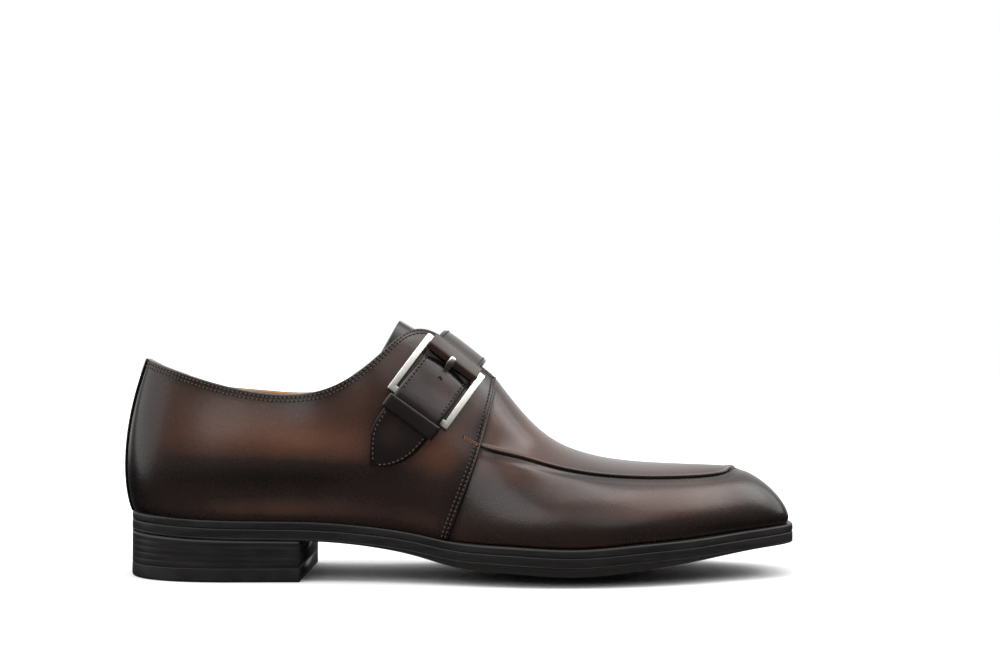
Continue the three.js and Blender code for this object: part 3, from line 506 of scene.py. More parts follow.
def calf(name, stops, roughness=0.27, sheen=0.42):
    """Polished calf, darker where its tone is higher."""
    finish = Finish(name, Coat_Weight=0.12, Coat_Roughness=0.14, Specular_IOR_Level=sheen)
    cloud = finish.noise(26, 4, 0.55)
    brushed = finish.noise(60, 4, 0.6, (0.45, 1, 1.2))
    speck = finish.noise(900, 2, 0.6)
    mottle = (cloud - 0.5) * 0.34 + (brushed - 0.5) * 0.16 + (speck - 0.5) * 0.02
    factor = finish.tone() + mottle
    finish.feed("Base Color", finish.ramp(factor.clamped(), stops))
    finish.feed("Roughness", roughness + (brushed - 0.5) * 0.12 + (speck - 0.5) * 0.06)
    pores = finish.cells(1500)
    wrinkles = finish.noise(420, 5, 0.6)
    finish.bump(pores * 0.35 + wrinkles, 0.00005)
    return finish.material


CALF_STOPS = [
    (0.0, (0.13, 0.055, 0.032)),
    (0.25, (0.066, 0.028, 0.0175)),
    (0.55, (0.0185, 0.0102, 0.0082)),
    (1.0, (0.0035, 0.003, 0.003)),
]
upper_calf = calf("upper_calf", CALF_STOPS)
strap_calf = calf("strap_calf", CALF_STOPS, 0.32, 0.42)


def cloudy(name, grain, stops, roughness, swing, grit=None, depth=0.0, pores=0, **constants):
    """A finish whose colour and roughness follow one noise; its bump is that noise or one of its grit."""
    finish = Finish(name, **constants)
    cloud = finish.noise(*grain)
    finish.feed("Base Color", finish.ramp(cloud, stops))
    finish.feed("Roughness", roughness + (cloud - 0.5) * swing)
    if depth:
        height = finish.noise(*grit) if grit else cloud
        finish.bump(finish.cells(pores) * 0.5 + height if pores else height, depth)
    return finish.material


TAN = [(0.2, (0.4, 0.19, 0.075)), (0.8, (0.62, 0.34, 0.15))]
lining = cloudy("tan_lining", (40, 4), TAN, 0.62, 0.2, (300, 4), 0.0001, 1100, Specular_IOR_Level=0.3)


def edge_leather():
    """Waxed sole edge with faint fibres that run along it."""
    finish = Finish("waxed_edge", Specular_IOR_Level=0.3)
    fibres = finish.noise(110, 5, 0.65, (0.35, 0.35, 4))
    cloud = finish.noise(70, 3)
    stops = [(0.3, (0.007, 0.0063, 0.0066)), (0.75, (0.021, 0.019, 0.0185))]
    finish.feed("Base Color", finish.ramp((fibres * 0.7 + cloud * 0.3).clamped(), stops))
    finish.feed("Roughness", 0.36 + (cloud - 0.5) * 0.2 + (fibres - 0.5) * 0.15)
    finish.bump(fibres, 0.00008)
    return finish.material


waxed_edge = edge_leather()


SOLE_BROWN = [(0.3, (0.01, 0.008, 0.007)), (0.8, (0.03, 0.02, 0.016))]
dark_sole = cloudy("dark_sole", (45, 5, 0.6), SOLE_BROWN, 0.36, 0.2, (500, 4), 0.00008, Coat_Weight=0.2,
                   Coat_Roughness=0.25)


BLACK_RUBBER = [(0.3, (0.011, 0.0105, 0.011)), (0.8, (0.021, 0.02, 0.02))]
heel_rubber = cloudy("heel_rubber_black", (90, 4), BLACK_RUBBER, 0.42, 0.2, (1600, 3), 0.00006,
                     Specular_IOR_Level=0.3)


NICKEL = [(0.2, (0.8, 0.77, 0.71)), (0.8, (0.95, 0.93, 0.88))]
satin_nickel = cloudy("satin_nickel", (700, 4, 0.6, (0.5, 1, 0.35)), NICKEL, 0.42, 0.12, depth=0.00001,
                      Metallic=1.0)


def thread_finish(name, dark, light):
    return cloudy(name, (2600, 3), [(0.3, dark), (0.7, light)], 0.55, 0.2, Specular_IOR_Level=0.4)


brown_thread = thread_finish("brown_thread", (0.03, 0.016, 0.011), (0.1, 0.055, 0.038))
tack_thread = thread_finish("tack_thread", (0.1, 0.042, 0.018), (0.28, 0.13, 0.06))
raw_edge = thread_finish("raw_edge", (0.14, 0.06, 0.025), (0.3, 0.14, 0.06))


# Near-black for needle and punched holes: painted shade inside the holes.
HOLE_SHADE_BLACK = [(0.3, (0.002, 0.002, 0.002)), (0.8, (0.006, 0.005, 0.005))]
hole_shade = cloudy("painted_hole_shade", (900, 2), HOLE_SHADE_BLACK, 0.8, 0.1, Specular_IOR_Level=0.1)


# Burnish with painted highlight and painted shade, and soft creases.

# Patches of tone: some rows are warm burnish, others are painted highlights on the quarters and vamp and a
# painted dark band low along the quarters. Columns: place along the shoe and height of its middle, its two
# reaches, and how much darker it is.
BURNISH_AND_PAINTED_LIGHT = [
    (0, 62, 14, 60, 0.4),
    (12, 34, 30, 14, 0.2),
    (66, 46, 60, 7, 0.42),
    (148, 36, 30, 8, 0.22),
    (60, 66, 46, 11, -0.2),
    (92, 60, 26, 8, -0.2),
    (142, 58, 16, 11, -0.26),
    (160, 76, 9, 12, -0.24),
    (66, 31, 60, 5, -0.06),
    (176, 52, 16, 9, -0.16),
    (186, 66, 16, 9, -0.2),
    (246, 36, 28, 7, -0.22),
    (222, 24, 50, 4, 0.28),
    (270, 25, 20, 6, 0.3),
    (294, 34, 13, 20, 0.4),
]
TONE_GROUND = 0.46


# Tone from the patches: burnish together with painted highlight and painted shade.
def burnish_and_painted_light(points):
    x, z = points[..., 0], points[..., 2]
    tone = np.full(x.shape, TONE_GROUND)
    for at, height, long, high, change in BURNISH_AND_PAINTED_LIGHT:
        tone += change * bell(x - at, long) * bell(z - height, high)
    return tone


# Creases and dents: side, one end and the other (along, height), width and depth of the trough.
CREASES = [
    (OUTER, (168, 62), (215, 52), 5.0, -0.55),
    (OUTER, (172, 54), (200, 46), 4.0, 0.35),
    (OUTER, (176, 44), (192, 38), 6.0, -0.3),
    (OUTER, (150, 34), (158, 60), 6.0, -0.3),
    (INNER, (170, 62), (212, 53), 5.0, -0.5),
    (INNER, (150, 36), (158, 60), 6.0, -0.3),
]


def relief(points, side):
    """How far the creases move the leather outwards, in millimetres."""
    x, z = points[..., 0], points[..., 2]
    moved = np.zeros(x.shape)
    for which, (x0, z0), (x1, z1), width, depth in CREASES:
        way = np.array([x1 - x0, z1 - z0])
        length = np.linalg.norm(way)
        along = ((x - x0) * way[0] + (z - z0) * way[1]) / length
        across = ((z - z0) * way[0] - (x - x0) * way[1]) / length
        past = np.maximum(np.maximum(-along, along - length), 0) / (0.35 * length)
        moved += np.where(side == which, depth * bell(across, width) * bell(past, 1), 0)
    return moved


# Upper.


# Rows are crowded this far to each side of the apron's seam, in millimetres.
SEAM_FINE = 4.0


def rows_to_seam(q, below, above, fine):
    """Places from the welt to the top edge, crowded at the apron's seam, and how far above it each lies."""
    seam = seam_at(q)[:, None]
    controls = section(OUTER, q, False)
    height = np.linalg.norm(controls[4] - controls[0], axis=-1)[:, None]
    low = seam - SEAM_FINE / height
    high = seam + SEAM_FINE / height
    t = np.concatenate([
        np.linspace(0, 1, below, endpoint=False) * low,
        low + np.linspace(0, 1, fine, endpoint=False) * (high - low),
        high + np.linspace(0, 1, above) * (1 - high),
    ], axis=1)
    return t, (t - seam) * height


SEAM_LIP = 0.8
SEAM_CUT = 1.0


def seam_raise(above):
    """The apron's seam across: a soft hollow, a sharp dark line, and a rounded lip above it."""
    return SEAM_LIP * bell(above - 0.85, 0.65) - SEAM_CUT * bell(above, 0.28) - 0.4 * bell(above + 1.7, 1.7)


# How deep the vamp's inside lies under the skin, and how far the lower edges are lowered.
VAMP_DEPTH = 0.9
FOOT_SINK = 0.25


def make_vamp():
    q = np.concatenate([[THROAT - 4.0, THROAT - 2], np.linspace(THROAT, HALF_LOOP, 118)])
    held = np.maximum(q, THROAT)
    t, above = rows_to_seam(held, 22, 24, 36)
    fade = np.clip((q - THROAT) / 4, 0, 1)[:, None]
    near_toe = 1 - 0.2 * bell(HALF_LOOP - held, 12)[:, None]
    tucked = (q < THROAT)[:, None, None]
    back = np.array([-1.0, 0, 0.35]) * (THROAT - q)[:, None, None] * 0.8

    def side_points(side):
        p, out = skin_frame(side, held[:, None], t, False)
        move = seam_raise(above) * near_toe + relief(p, side)
        sheet = np.where(tucked, p - out * 0.35 + back, p + out * move[..., None])
        inside = np.where(tucked, p - out * VAMP_DEPTH + back, p - out * VAMP_DEPTH)
        sheet[:, 0, 2] -= FOOT_SINK
        # Painted shade: a dark line in the apron seam's cut and a softer darker band below it, fading in
        # from the throat. The small lighter term is a painted highlight on the lip above, and the last term
        # a painted shadow along the quarter's front edge.
        dark = 0.75 * bell(above + 0.05, 0.42) + 0.1 * bell(above + 1.5, 2.2)
        tone = burnish_and_painted_light(p) + dark * fade - 0.05 * bell(above - 1.1, 0.45)
        return sheet, inside, tone + 0.4 * bell(np.maximum(q - THROAT, 0)[:, None], 1.3)

    outer, outer_in, tone_out = side_points(OUTER)
    inner, inner_in, tone_in = side_points(INNER)
    inner[:, -1] = outer[:, -1]
    inner_in[:, -1] = outer_in[:, -1]
    rows = t.shape[1]
    sparse = np.append(np.arange(0, rows, 4), rows - 1)

    def loop(a, b, b_in, a_in):
        return np.concatenate([a, b[:, -2::-1], b_in[:, sparse], a_in[:, sparse][:, -2::-1]], axis=1)

    points = loop(outer, inner, inner_in, outer_in)
    tone = loop(tone_out, tone_in, tone_in, tone_out)
    return grid_piece("vamp", points, [upper_calf], caps=True, tone=tone)


RIM_ROUND = 0.5


def top_share(q, side, inset):
    """How far up the wall a line lies that is inset from the top edge."""
    controls = section(side, q, True)
    speed = 4 * np.linalg.norm(controls[4] - controls[3], axis=-1)
    return 1 - inset / speed


# The inner topline dips more behind the ankle: by how much, where and over what reach.
INNER_DIP = 4.0
INNER_DIP_AT = 42
INNER_DIP_REACH = 24


def inner_dip(side, q):
    """How far the inner quarter's top edge lies below the outer one's."""
    return np.where(side == INNER, INNER_DIP * bell(q - INNER_DIP_AT, INNER_DIP_REACH), 0)


# The quarter's front edge is drawn forward over the vamp: how far, by share of the way up, over what reach.
FRONT_SHARES = (0, 0.25, 0.5, 0.8, 1)
FRONT_FORWARD = (0, 0.5, 1.6, 2.5, 2.6)
FRONT_REACH = 9.0
EDGE_BEAD = 0.3


def quarter_skin(side, q, t):
    """Points of the quarter's skin and the way out of it."""
    side, q, t = np.broadcast_arrays(side, q, t)
    p, out = skin_frame(side, q, t, True)
    end = np.full(q.shape, THROAT)
    way = skin(side, end, t, True) - skin(side, end - 2, t, True)
    way /= np.linalg.norm(way, axis=-1, keepdims=True)
    near = np.clip(1 - (THROAT - q) / FRONT_REACH, 0, 1) ** 2
    return p + way * (np.interp(t, FRONT_SHARES, FRONT_FORWARD) * near)[..., None], out


def make_quarters():
    fine = THROAT - np.array([0.7, 0.6, 0.5, 0.4, 0.3, 0.2, 0.1, 0.03, 0, -0.02])
    places = np.concatenate([-fine[::-1], np.linspace(-1, 1, 300) * (THROAT - 0.8), fine])
    side = np.where(places < 0, OUTER, INNER)
    q = np.minimum(np.abs(places), THROAT)
    to_end = THROAT - q
    edge = np.clip(to_end / 0.4, 0, 1)
    t = joined((0, 0.12, 10), (0.12, 0.9, 44), (0.9, 1, 16))
    reach = top_share(q, side, inner_dip(side, q))
    p, out = quarter_skin(side[:, None], q[:, None], t[None] * reach[:, None])
    bead = EDGE_BEAD * (bell(to_end - 0.2, 0.16) - 0.8 * bell(to_end - 0.52, 0.12))
    lift = (QUARTER_STEP - 0.75) + 0.75 * np.sqrt(1 - (1 - edge) ** 2) + bead
    move = lift[:, None] + relief(p, side[:, None]) * edge[:, None]
    outside = p + out * move[..., None]
    outside[:, 0, 2] -= FOOT_SINK
    inside_t = np.append(np.arange(len(t) - 1, 0, -3), 0)
    wall = np.where(np.abs(places) > THROAT, -lift, UPPER_WALL * 0.6)
    inside = (p - out * wall[:, None, None])[:, inside_t]
    rim = []
    for share in (0.2, 0.5, 0.8):
        level = mix(lift, -wall, share)
        rise = RIM_ROUND * math.sin(math.pi * share) * edge
        rim.append(p[:, -1] + out[:, -1] * level[:, None] + np.array([0, 0, 1.0]) * rise[:, None])
    points = np.concatenate([outside, np.stack(rim, axis=1), inside], axis=1)
    to_top = np.linalg.norm(p - p[:, -1:], axis=-1)
    to_foot = np.linalg.norm(p - p[:, :1], axis=-1)
    to_front = to_end[:, None] * 0.9
    tone = burnish_and_painted_light(p) + 0.3 * bell(to_top, 3.5) + 0.28 * bell(to_front, 3) + 0.3 * bell(to_foot, 3)
    # Painted shade in the groove behind the front edge's bead, and a painted highlight on the rolled edge
    # itself.
    tone = tone + 0.4 * bell(to_front - 0.6, 0.16) - 0.16 * bell(to_front - 0.25, 0.2)
    tone = np.concatenate([tone, np.repeat(tone[:, -1:], 3, axis=1), tone[:, inside_t]], axis=1)
    uses = np.zeros(points.shape[:2])
    uses[:, len(t) + 2 :] = 1
    uses[to_end < 3] = 0
    return grid_piece("quarters", points, [upper_calf, lining], caps=True, tone=tone, uses=uses)


def make_lining():
    """The inside of the vamp and toe, tan all the way."""
    held = np.maximum(np.linspace(THROAT - 1, HALF_LOOP, 60), THROAT)[:, None]
    sheets = []
    for depth in (1.05, UPPER_WALL):
        frames = [skin_frame(side, held, np.linspace(0, 1, 26), False) for side in (OUTER, INNER)]
        a, b = (p - out * depth for p, out in frames)
        b[:, -1] = a[:, -1]
        sheets.append(np.concatenate([a, b[:, -2::-1]], axis=1))
    points = np.concatenate([sheets[0], sheets[1][:, ::-1]], axis=1)
    return grid_piece("vamp_lining", points, [lining], caps=True)


vamp = make_vamp()
quarters = make_quarters()
vamp_lining = make_lining()
for piece in (vamp, quarters):
    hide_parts("upper")
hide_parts("upper")


# Tongue and heel strip.


def bridged_skin(q, across):
    """The skin carried over the open throat."""
    ends = [skin_frame(s, q, 1.0, True) for s in (OUTER, INNER)]
    across = np.asarray(across)[..., None]
    out = mix(ends[0][1], ends[1][1], across)
    out /= np.linalg.norm(out, axis=-1, keepdims=True)
    return mix(ends[0][0], ends[1][0], across) + out * TONGUE_CROWN * 4 * across * (1 - across), out


# Where up the wall the tongue's sides begin, its eased edge and how far its two faces are drawn in.
TONGUE_FROM = 0.68
TONGUE_EASE = 0.15
TONGUE_TUCK = 0.4


def make_tongue():
    q = np.linspace(outer_knots[CORNER_ROW - 2], THROAT, 40)
    side_t = np.concatenate([np.linspace(TONGUE_FROM, 0.985, 20), [0.995]])
    sheets = []
    depth = UPPER_WALL + 2 * LIE
    under = depth + TONGUE_THICK
    for level in (depth, depth + TONGUE_EASE, under - TONGUE_EASE, under):
        tuck = TONGUE_TUCK if level in (depth, under) else 0.0
        outer, out_o = skin_frame(OUTER, q[:, None], side_t[None], True)
        inner, out_i = skin_frame(INNER, q[:, None], side_t[::-1][None], True)
        shares = np.linspace(0.08, 0.92, 15)
        mid = [bridged_skin(q, np.full(q.shape, a)) for a in shares]
        mid_p = np.stack([m[0] for m in mid], 1)
        mid_o = np.stack([m[1] for m in mid], 1)
        p = np.concatenate([outer, mid_p, inner], 1) - np.concatenate([out_o, mid_o, out_i], 1) * level
        crest = p.shape[1] // 2
        ahead = p[0, crest] - p[10, crest]
        ahead[1] = 0
        ahead /= np.linalg.norm(ahead)
        end = p[0, crest] @ ahead + TONGUE_PROUD - tuck
        grown = []
        for share in (1.0, 0.97, 0.8, 0.6, 0.4, 0.2):
            edge = p[0] + ahead * (end - p[0] @ ahead)[:, None] * share
            edge[:, 1] *= mix(1, TONGUE_NARROWS, share)
            edge[:, 0] += TONGUE_LEANS * share
            grown.append(edge)
        p = np.concatenate([np.array(grown), p], 0)
        if tuck:
            p[:, 0] = mix(p[:, 0], p[:, 1], 0.35)
            p[:, -1] = mix(p[:, -1], p[:, -2], 0.35)
        sheets.append(p)
    points = np.concatenate([sheets[0], sheets[1][:, -1:], sheets[2][:, -1:], sheets[3][:, ::-1],
                             sheets[2][:, :1], sheets[1][:, :1]], axis=1)
    tone = np.full(points.shape[:2], 0.62)
    tone[:3] += 0.15
    return grid_piece("tongue_leather", points, [upper_calf], caps=True, tone=tone)


tongue = make_tongue()
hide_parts("tongue")


def make_heel_strip():
    across = np.array([-1, -0.97, -0.9, -0.6, -0.3, 0, 0.3, 0.6, 0.9, 0.97, 1])
    t = np.linspace(0.008, 1, 60)
    side = np.where(across < 0, OUTER, INNER)
    width = STRIP_WIDTH / 2 * (0.72 + 0.28 * t)
    p, out = skin_frame(side[None], np.abs(across)[None] * width[:, None], t[:, None], True)
    height = QUARTER_STEP + GAP + STRIP_THICK * np.array([0.35, 0.8, 1, 1, 1, 1, 1, 1, 1, 0.8, 0.35])
    front = p + out * height[None, :, None]
    back = p + out * (QUARTER_STEP + 0.1)
    top = front[-1:].copy()
    top[..., 2] += 0.25
    top += (back[-1:] - top) * 0.5
    front = np.concatenate([front, top, back[-1:]], axis=0)
    back = np.concatenate([back, back[-1:], back[-1:]], axis=0)
    points = np.concatenate([front, back[:, ::-1]], axis=1)
    tone = burnish_and_painted_light(points) + 0.1
    return grid_piece("back_stay", points, [upper_calf], caps=True, tone=tone)


strip = make_heel_strip()
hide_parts("heel_strip")


# Sole.


def crown(q, v):
    return -edge_at(q) * (1 - np.abs(v) ** CROWN_POWER)


def welt_top(q):
    return seat_at(q) - LIE


def outsole_top(q, v):
    return welt_top(q) - WELT_THICK + crown(q, v)


def outsole_bottom(q, v):
    return np.maximum(0, outsole_top(q, v) - GAP - OUTSOLE_THICK)


def plan_point(q, v, inset, z):
    """A point between the outer and inner outline, both drawn in by an inset."""
    tip = (q < 1e-3) | (q > HALF_LOOP - 1e-3)
    outer, out_o = outline(OUTER, q)
    inner, out_i = outline(np.where(tip, OUTER, INNER), q)
    a = outer - out_o * np.asarray(inset)[..., None]
    b = inner - out_i * np.asarray(inset)[..., None]
    p = mix(a, b, ((v + 1) / 2)[..., None])
    p[..., 2] = z
    return p


def sole_ring(q, wall, top_rows, across):
    """Sections of a sole's layer as loops: over its top, down one wall, back underneath and up the other.

    wall lists (inset, share of the way down) from top to bottom edge; top_rows gives both heights."""
    v = np.linspace(-1, 1, across)
    z_top, z_bottom = top_rows

    def rows(v_row, inset, share):
        grid_q, grid_v = np.meshgrid(q, v_row, indexing="ij")
        z = mix(z_top(grid_q, grid_v), z_bottom(grid_q, grid_v), share)
        return plan_point(grid_q, grid_v, np.full(grid_q.shape, inset), z)

    loops = [rows(v, *wall[0])]
    loops += [rows([1.0], *step) for step in wall[1:-1]]
    loops += [rows(v[::-1], *wall[-1])]
    loops += [rows([-1.0], *step) for step in wall[1:-1][::-1]]
    return np.concatenate(loops, axis=1)


def crowded(count):
    """Places from heel to toe, closer together where the outline turns."""
    return joined((0, 20, 24), (20, HALF_LOOP - 40, count), (HALF_LOOP - 40, HALF_LOOP, 44))


def make_outsole():
    wall = [(0.4, 0), (0.2, 0.02), (0.05, 0.06), (0, 0.12), (0, 0.7), (0.03, 0.74), (0.12, 0.77), (0.1, 0.8),
            (0.0, 0.83), (-0.02, 0.88), (0.1, 0.94), (0.4, 0.98), (0.9, 1.0)]
    across = 30
    points = sole_ring(crowded(130), wall, (outsole_top, outsole_bottom), across)
    uses = np.zeros(points.shape[:2])
    start = across + len(wall) - 2
    uses[:, start : start + across] = 1
    return grid_piece("outsole_leather", points, [waxed_edge, dark_sole], uses=uses)


# How far the welt's lower face stays above the outsole.
WELT_CLEAR = 0.12


def make_welt():
    """The ring round the edge, with a rounded upper rim and a light bead along it."""
    q = crowded(150)
    ring_side = np.concatenate([np.full(len(q), OUTER), np.full(len(q) - 2, INNER)])
    ring_q = np.concatenate([q, q[1:-1][::-1]])
    profile = [(1, 0.0), (0.62, -0.02), (0.36, 0.04), (0.24, 0.05), (0.17, -0.03), (0.1, -0.02),
               (0.045, 0.05), (0.01, 0.16), (0.0, 0.3), (0.0, 0.74), (0.01, 0.86), (0.05, 0.95),
               (0.1, 1.0), (1, 1.0)]
    rim, out = outline(ring_side, ring_q)
    depth = ledge_at(ring_q) * WELT_LEDGE + WELT_SEAT
    inner, outer = (outline(side, ring_q)[0][:, 1] for side in (INNER, OUTER))
    width = np.maximum(30, np.abs(inner - outer))
    columns = []
    for share, down in profile:
        inset = share * depth
        v = 1 - 2 * inset / width
        p = rim - out * inset[:, None]
        p[:, 2] = mix(welt_top(ring_q), outsole_top(ring_q, v) + WELT_CLEAR, down)
        columns.append(p)
    points = np.stack(columns, axis=1)
    return grid_piece("welt_strip", points, [waxed_edge], wrap_columns=True)


def make_insole():
    q = crowded(90)
    grid_q, grid_v = np.meshgrid(q, np.linspace(-1, 1, 26), indexing="ij")
    inset = ledge_at(grid_q) * WELT_LEDGE + WELT_SEAT + GAP
    top = plan_point(grid_q, grid_v, inset, seat_at(grid_q) + INSOLE_RISE + crown(grid_q, grid_v))
    bottom = plan_point(grid_q, grid_v, inset, outsole_top(grid_q, grid_v) + GAP)
    return grid_piece("sock_lining", np.concatenate([top, bottom[:, ::-1]], axis=1), [lining])


def breast_place():
    low, high = 0.0, HALF_LOOP
    for _ in range(40):
        middle = (low + high) / 2
        if outline(OUTER, middle)[0][0] < HEEL_LENGTH:
            low = middle
        else:
            high = middle
    return low


BREAST = breast_place()
heel_q = joined((0, 20, 26), (20, BREAST, 50))
# The heel block's lifts, how far it stays below the outsole and how far the rubber lift stays below it.
STACK_LIFTS = 5
STACK_CLEAR = 0.1
LIFT_CLEAR = 0.12


def make_heel_stack():
    """Leather lifts with a fine line between each two."""
    wall = [(0.4, 0), (0.12, 0.012)]
    for i in range(STACK_LIFTS):
        start, end = i / STACK_LIFTS, (i + 1) / STACK_LIFTS
        wall += [(0.09, mix(start, end, 0.04)), (0.08, mix(start, end, 0.5)), (0.09, mix(start, end, 0.96))]
        if i < STACK_LIFTS - 1:
            wall += [(0.12, end)]
    wall += [(0.1, 0.995), (0.3, 1)]
    tops = (lambda q, v: outsole_bottom(q, v) - STACK_CLEAR,
            lambda q, v: np.full(q.shape, float(LIFT_THICK)))
    points = sole_ring(heel_q, wall, tops, 20)
    return grid_piece("heel_lifts", points, [waxed_edge], caps=True)


def make_top_lift():
    wall = [(0.3, 0), (0.1, 0.015), (0.06, 0.06), (0.04, 0.84), (0.14, 0.95), (0.5, 1)]
    tops = (lambda q, v: np.full(q.shape, LIFT_THICK - LIFT_CLEAR), lambda q, v: np.zeros(q.shape))
    points = sole_ring(heel_q, wall, tops, 20)
    return grid_piece("top_lift", points, [heel_rubber], caps=True)


SOLE_PIECES = [
    (make_outsole, "outsole", "sole_edge"),
    (make_welt, "welt", "sole_edge"),
    (make_insole, "insole", "lining"),
    (make_heel_stack, "heel_stack", "sole_edge"),
    (make_top_lift, "heel_top_lift", "heel_rubber"),
]
for make, node, slot in SOLE_PIECES:
    piece = make()
    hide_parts(node)


# Strap coordinates: along, from the ridge down the outer side; across, towards the toe; up, off the upper.

STRAP_TILT = math.radians(54.2)
STRAP_CREST = np.array([0.499 * SOLE_LENGTH, 0, 0.9 * INSTEP_HEIGHT])
HUB_DEPTH = 42
uphill = np.array([math.cos(STRAP_TILT), 0, math.sin(STRAP_TILT)])
to_toe = np.array([math.sin(STRAP_TILT), 0, -math.cos(STRAP_TILT)])
hub = STRAP_CREST - uphill * HUB_DEPTH


def strap_form():
    """The upper's outside with its throat bridged, as a target for sight lines from the hub."""
    t = np.linspace(0, 1, 25)
    steps = (3, 3, 2, 2, 2, 3, 2, 2, 3, 3, 3)

    def spread(first, last):
        marks = [outer_knots[first]]
        for i in range(first, last):
            marks += list(np.linspace(outer_knots[i], outer_knots[i + 1], steps[i] + 1)[1:])
        return np.array(marks)

    def column(q, is_open, step):
        sides = []
        for side in (OUTER, INNER):
            p, out = skin_frame(side, q, t, is_open)
            sides.append(p + out * step)
        over = []
        for a in (0.2, 0.4, 0.6, 0.8):
            if is_open:
                p, out = bridged_skin(np.array([q]), np.array([a]))
                over.append((p + out * step)[0])
            else:
                over.append(skin(OUTER, np.array([q]), 1.0, False)[0])
        return np.concatenate([sides[0], np.array(over), sides[1][::-1]])

    grid = [column(q, True, QUARTER_STEP) for q in spread(3, CORNER_ROW)]
    grid += [column(q, False, 0) for q in spread(CORNER_ROW, CORNER_ROW + 3)[1:]]
    bm = grid_bmesh(np.array(grid))
    tree = BVHTree.FromBMesh(bm)
    bm.free()
    return tree


form = strap_form()
ANGLES = np.radians(np.linspace(-100, 130, 47))
LANES = np.linspace(-20, 20, 9)


def sight(angle, lane):
    origin = (hub + to_toe * lane - FOOTPRINT_MIDDLE) * MM
    way = uphill * math.cos(angle) + np.array([0, -math.sin(angle), 0])
    hit = form.ray_cast(Vector(origin), Vector(way))
    return None if hit[0] is None else hit[3] / MM


def lane_radii(lane):
    raw = [sight(a, lane) for a in ANGLES]
    last = next(r for r in raw if r is not None)
    filled = []
    for r in raw:
        last = last if r is None else r
        filled.append(last)
    padded = [filled[0], *filled, filled[-1]]
    return Curve(ANGLES, [(padded[i] + 2 * padded[i + 1] + padded[i + 2]) / 4 for i in range(len(filled))])


radius_curves = [lane_radii(lane) for lane in LANES]


def on_form(angle, lane, height):
    angle, lane, height = np.broadcast_arrays(np.asarray(angle, float), np.asarray(lane, float), height)
    place = np.clip((lane - LANES[0]) / (LANES[1] - LANES[0]), 0, len(LANES) - 1.001)
    i = np.floor(place).astype(int)
    table = np.stack([c(angle) for c in radius_curves])
    low = np.take_along_axis(table, i[None], 0)[0]
    high = np.take_along_axis(table, i[None] + 1, 0)[0]
    r = mix(low, high, place - i) + height
    turn = r * np.sin(angle)
    return hub + to_toe * lane[..., None] + uphill * (r * np.cos(angle))[..., None] + np.stack(
        [0 * r, -turn, 0 * r], -1
    )


fine_angles = np.linspace(ANGLES[0], ANGLES[-1], 461)
fine_lengths = chords(on_form(fine_angles, 0.0, 0.0))
crest_length = fine_lengths[np.argmax(fine_angles >= -1e-9)]


def on_strap(along, across, height):
    """A point in strap coordinates, all in millimetres."""
    angle = np.interp(np.asarray(along, float) + crest_length, fine_lengths, fine_angles)
    return on_form(angle, across, height)


BUCKLE_END = BUCKLE_DOWN + BUCKLE_LENGTH
KEEPER_START = BUCKLE_END + 1.5
TIP_START = KEEPER_START + KEEPER_LENGTH
LOWER_BAR_HEIGHT = GAP
OVER_BAR = LOWER_BAR_HEIGHT + BAR_THICK + 2 * GAP
UPPER_BAR_HEIGHT = GAP + STRAP_THICK + 2 * GAP + WRAP_THICK
strap_height = Curve(
    [-STRAP_DOWN_INNER - 10, -STRAP_DOWN_INNER, 0, BUCKLE_DOWN, BUCKLE_END - 12, BUCKLE_END - 2, TIP_START,
     TIP_START + TIP_LENGTH, TIP_START + TIP_LENGTH + 10],
    4 * [STRAP_LIE] + [2 * STRAP_LIE, OVER_BAR, OVER_BAR - GAP, TIP_LIFT, TIP_LIFT],
)
TIP_SHARES = (0, 0.2, 0.45, 0.7, 0.88, 1)
rear_tip = Curve(TIP_SHARES, (-1, -0.99, -0.9, -0.62, -0.36, -0.2))
front_tip = Curve(TIP_SHARES, (1, 0.96, 0.86, 0.6, 0.24, -0.16))
HALF_STRAP = STRAP_WIDTH / 2


def strap_edges(along):
    share = np.clip((np.asarray(along, float) - TIP_START) / TIP_LENGTH, 0, 1)
    on_tip = share > 0
    rear = np.where(on_tip, rear_tip(share), -1) * HALF_STRAP
    front = np.where(on_tip, front_tip(share), 1) * HALF_STRAP
    return rear, front


def strap_bulge(along, across):
    """Small swells of the strap: pressed down under the sleeve and raised by the bar below."""
    middle = 1 - (across / HALF_STRAP) ** 2
    lower = 0.35 * bell(along - BUCKLE_END + 1.5, 3.0) * (0.7 + 0.3 * middle)
    pressed = 1.1 * bell(along - BUCKLE_DOWN - 6.2 + 1.6 * middle, 1.8)
    return lower + 0.55 * bell(along - BUCKLE_DOWN - 12, 5) * middle - pressed


